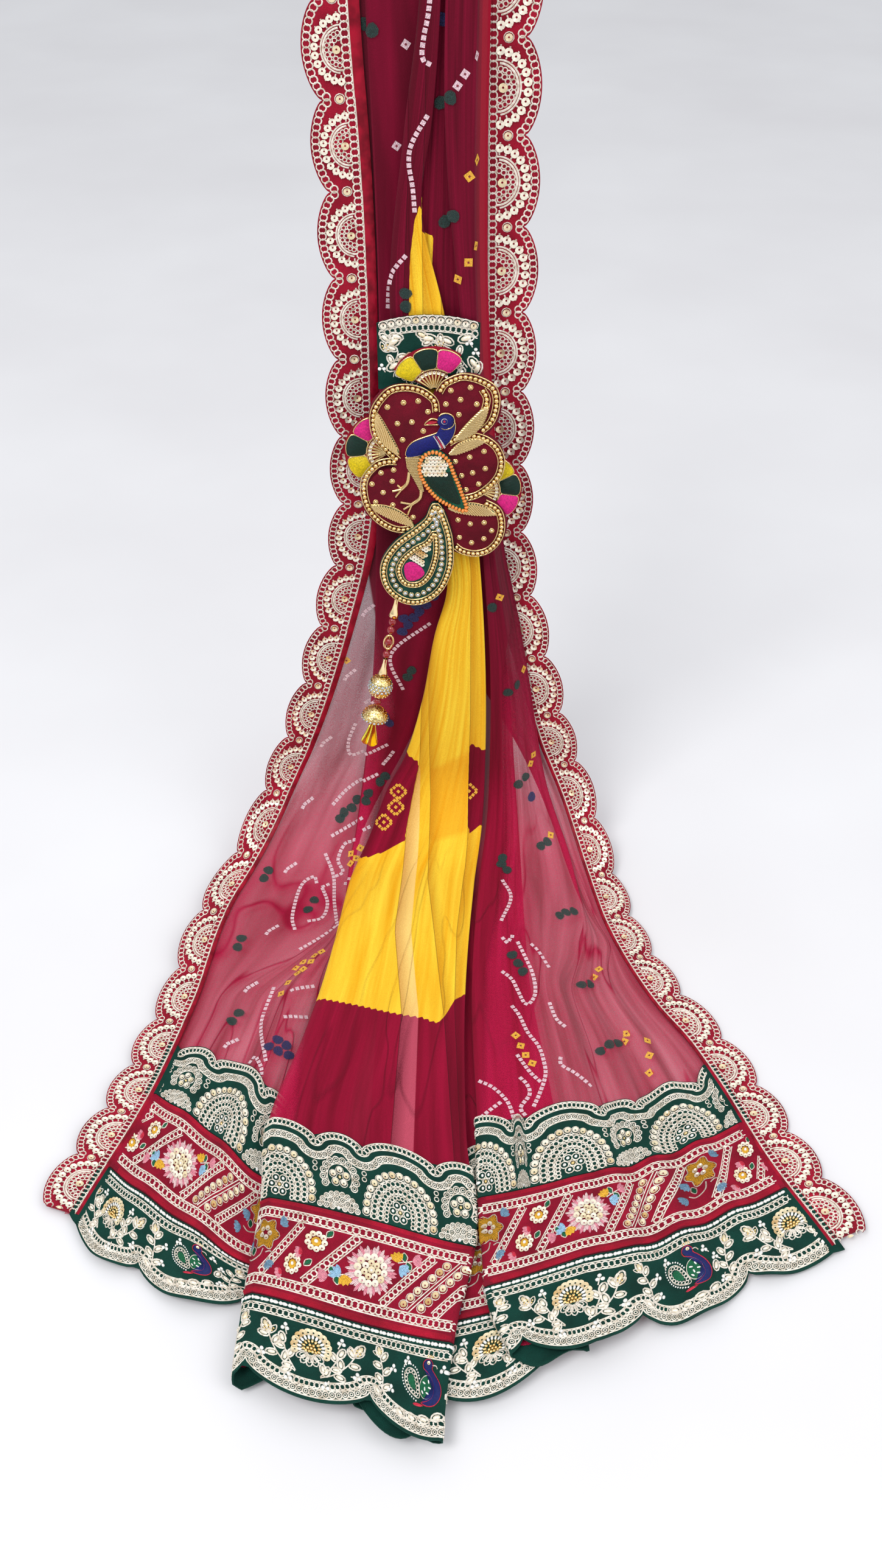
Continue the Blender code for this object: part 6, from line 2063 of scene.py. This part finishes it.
LOOKS = {
    "cord": thread_look("gold_cord", (1.0, 0.94, 0.84), (0.56, 0.46, 0.34)),
    "sequin": sequin_look("sequin", (0.95, 0.88, 0.72), (0.84, 0.68, 0.40)),
    "satin": satin_look("red_satin", (0.16, 0.001, 0.010), (0.34, 0.004, 0.022)),
    "pile": RED_VELVET,
    "binding": velvet_look("red_binding", (0.27, 0.004, 0.018), (1.0, 0.2, 0.25)),
    "gold_sequin": sequin_look("gold_sequin", (0.88, 0.76, 0.50), (0.62, 0.36, 0.10)),
    "pearl": gloss_look("pearl", (0.93, 0.92, 0.88), 0.25),
    "gold_bead": metal_look("gold_bead", (0.98, 0.77, 0.40), (0.76, 0.52, 0.20), 0.16, 500, 0.0001),
    "bullion": metal_look("gold_bullion", (0.95, 0.73, 0.37), (0.58, 0.38, 0.14), 0.26, 3200, 0.0001),
    "body_velvet": velvet_look("maroon_velvet", (0.105, 0.002, 0.010), (0.9, 0.1, 0.2)),
    "petal_cloth": velvet_look("petal_cloth", (0.20, 0.003, 0.014), (0.9, 0.1, 0.2)),
    "wing_cloth": satin_look("wing_cloth", (0.006, 0.06, 0.035), (0.01, 0.10, 0.06)),
    "bottle_satin": satin_look("bottle_satin", (0.004, 0.03, 0.024), (0.01, 0.07, 0.05)),
    "orange_bead": gloss_look("orange_bead", (0.90, 0.27, 0.03), 0.3),
    "stone": gloss_look("cut_stone", (0.62, 0.68, 0.72), 0.04, 1.0, 0.8),
    "gold": metal_look("gold", (1.0, 0.82, 0.48), (0.88, 0.64, 0.30), 0.14, 60),
    "ball": metal_look("worked_gold", (1.0, 0.84, 0.42), (0.62, 0.42, 0.12), 0.22, 650, 0.0008),
    "cap": metal_look("cap_gold", (1.0, 0.84, 0.42), (0.62, 0.42, 0.12), 0.22, 650, 0.0008),
    "drop": metal_look("yellow_gold", (1.0, 0.90, 0.14), (0.90, 0.78, 0.08), 0.14, 60),
    "red_bead": gloss_look("red_glass", (0.30, 0.006, 0.012), 0.2, 0.6),
    "thread": satin_look("thread", (0.35, 0.20, 0.05), (0.5, 0.3, 0.1)),
}
for name, colour in FLOSSES:
    LOOKS["floss_" + name] = floss_look(name + "_floss", colour)
for name, colour in PRINTS:
    LOOKS[name] = print_look(name + "_print", colour)
on_ground += embroider_border(border, LOOKS) + build_print(LOOKS)
for stitched in on_ground[3:]:
    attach(stitched, "root")

strap, strap_work = build_strap(GREEN_VELVET, LOOKS)
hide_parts("strap")
brooch = build_brooch(LOOKS)
pendant = build_pendant(LOOKS)
for piece in [strap] + strap_work + list(brooch.values()) + list(pendant.values()):
    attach(piece, "root")
for name, nodes, slot in (
        ("brooch_body_velvet", ["brooch_body"], "maroon_velvet"),
        ("brooch_petal_cloth", ["brooch_petals_top", "brooch_petals_left", "brooch_petals_right"], "silk"),
        ("brooch_bullion", ["brooch_leaf_%d" % k for k in range(1, 6)], "gold_thread"),
        ("brooch_floss_royal", ["brooch_peacock"], "peacock_blue"),
        ("brooch_wing_cloth", ["brooch_wing"], "gold_thread"),
        ("brooch_bottle_satin", ["brooch_paisley"], "gold_thread")):
    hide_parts(*nodes)
for name, nodes, slot in (
        ("pendant_gold", ["latkan_cone_1", "latkan_cone_2", "latkan_ring"], "gold"),
        ("pendant_red_bead", ["latkan_bead_%s" % k for k in ("1", "2", "3", "4", "in_ring")], "red_glass"),
        ("pendant_ball", ["latkan_jewel"], "jewel"),
        ("pendant_cap", ["latkan_cap"], "gold"),
        ("pendant_drop", ["latkan_drop_1", "latkan_drop_2"], "gold")):
    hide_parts(*nodes)
for side, lace in LACES.items():
    piece = build_lace("lace_cloth_" + side, lace, RED_VELVET)
    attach(piece, "root")
    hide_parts("lace_" + side)
    stitched = embroider_lace(side, lace, LOOKS)
    for thread in stitched:
        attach(thread, "root")
    on_ground.append(piece)
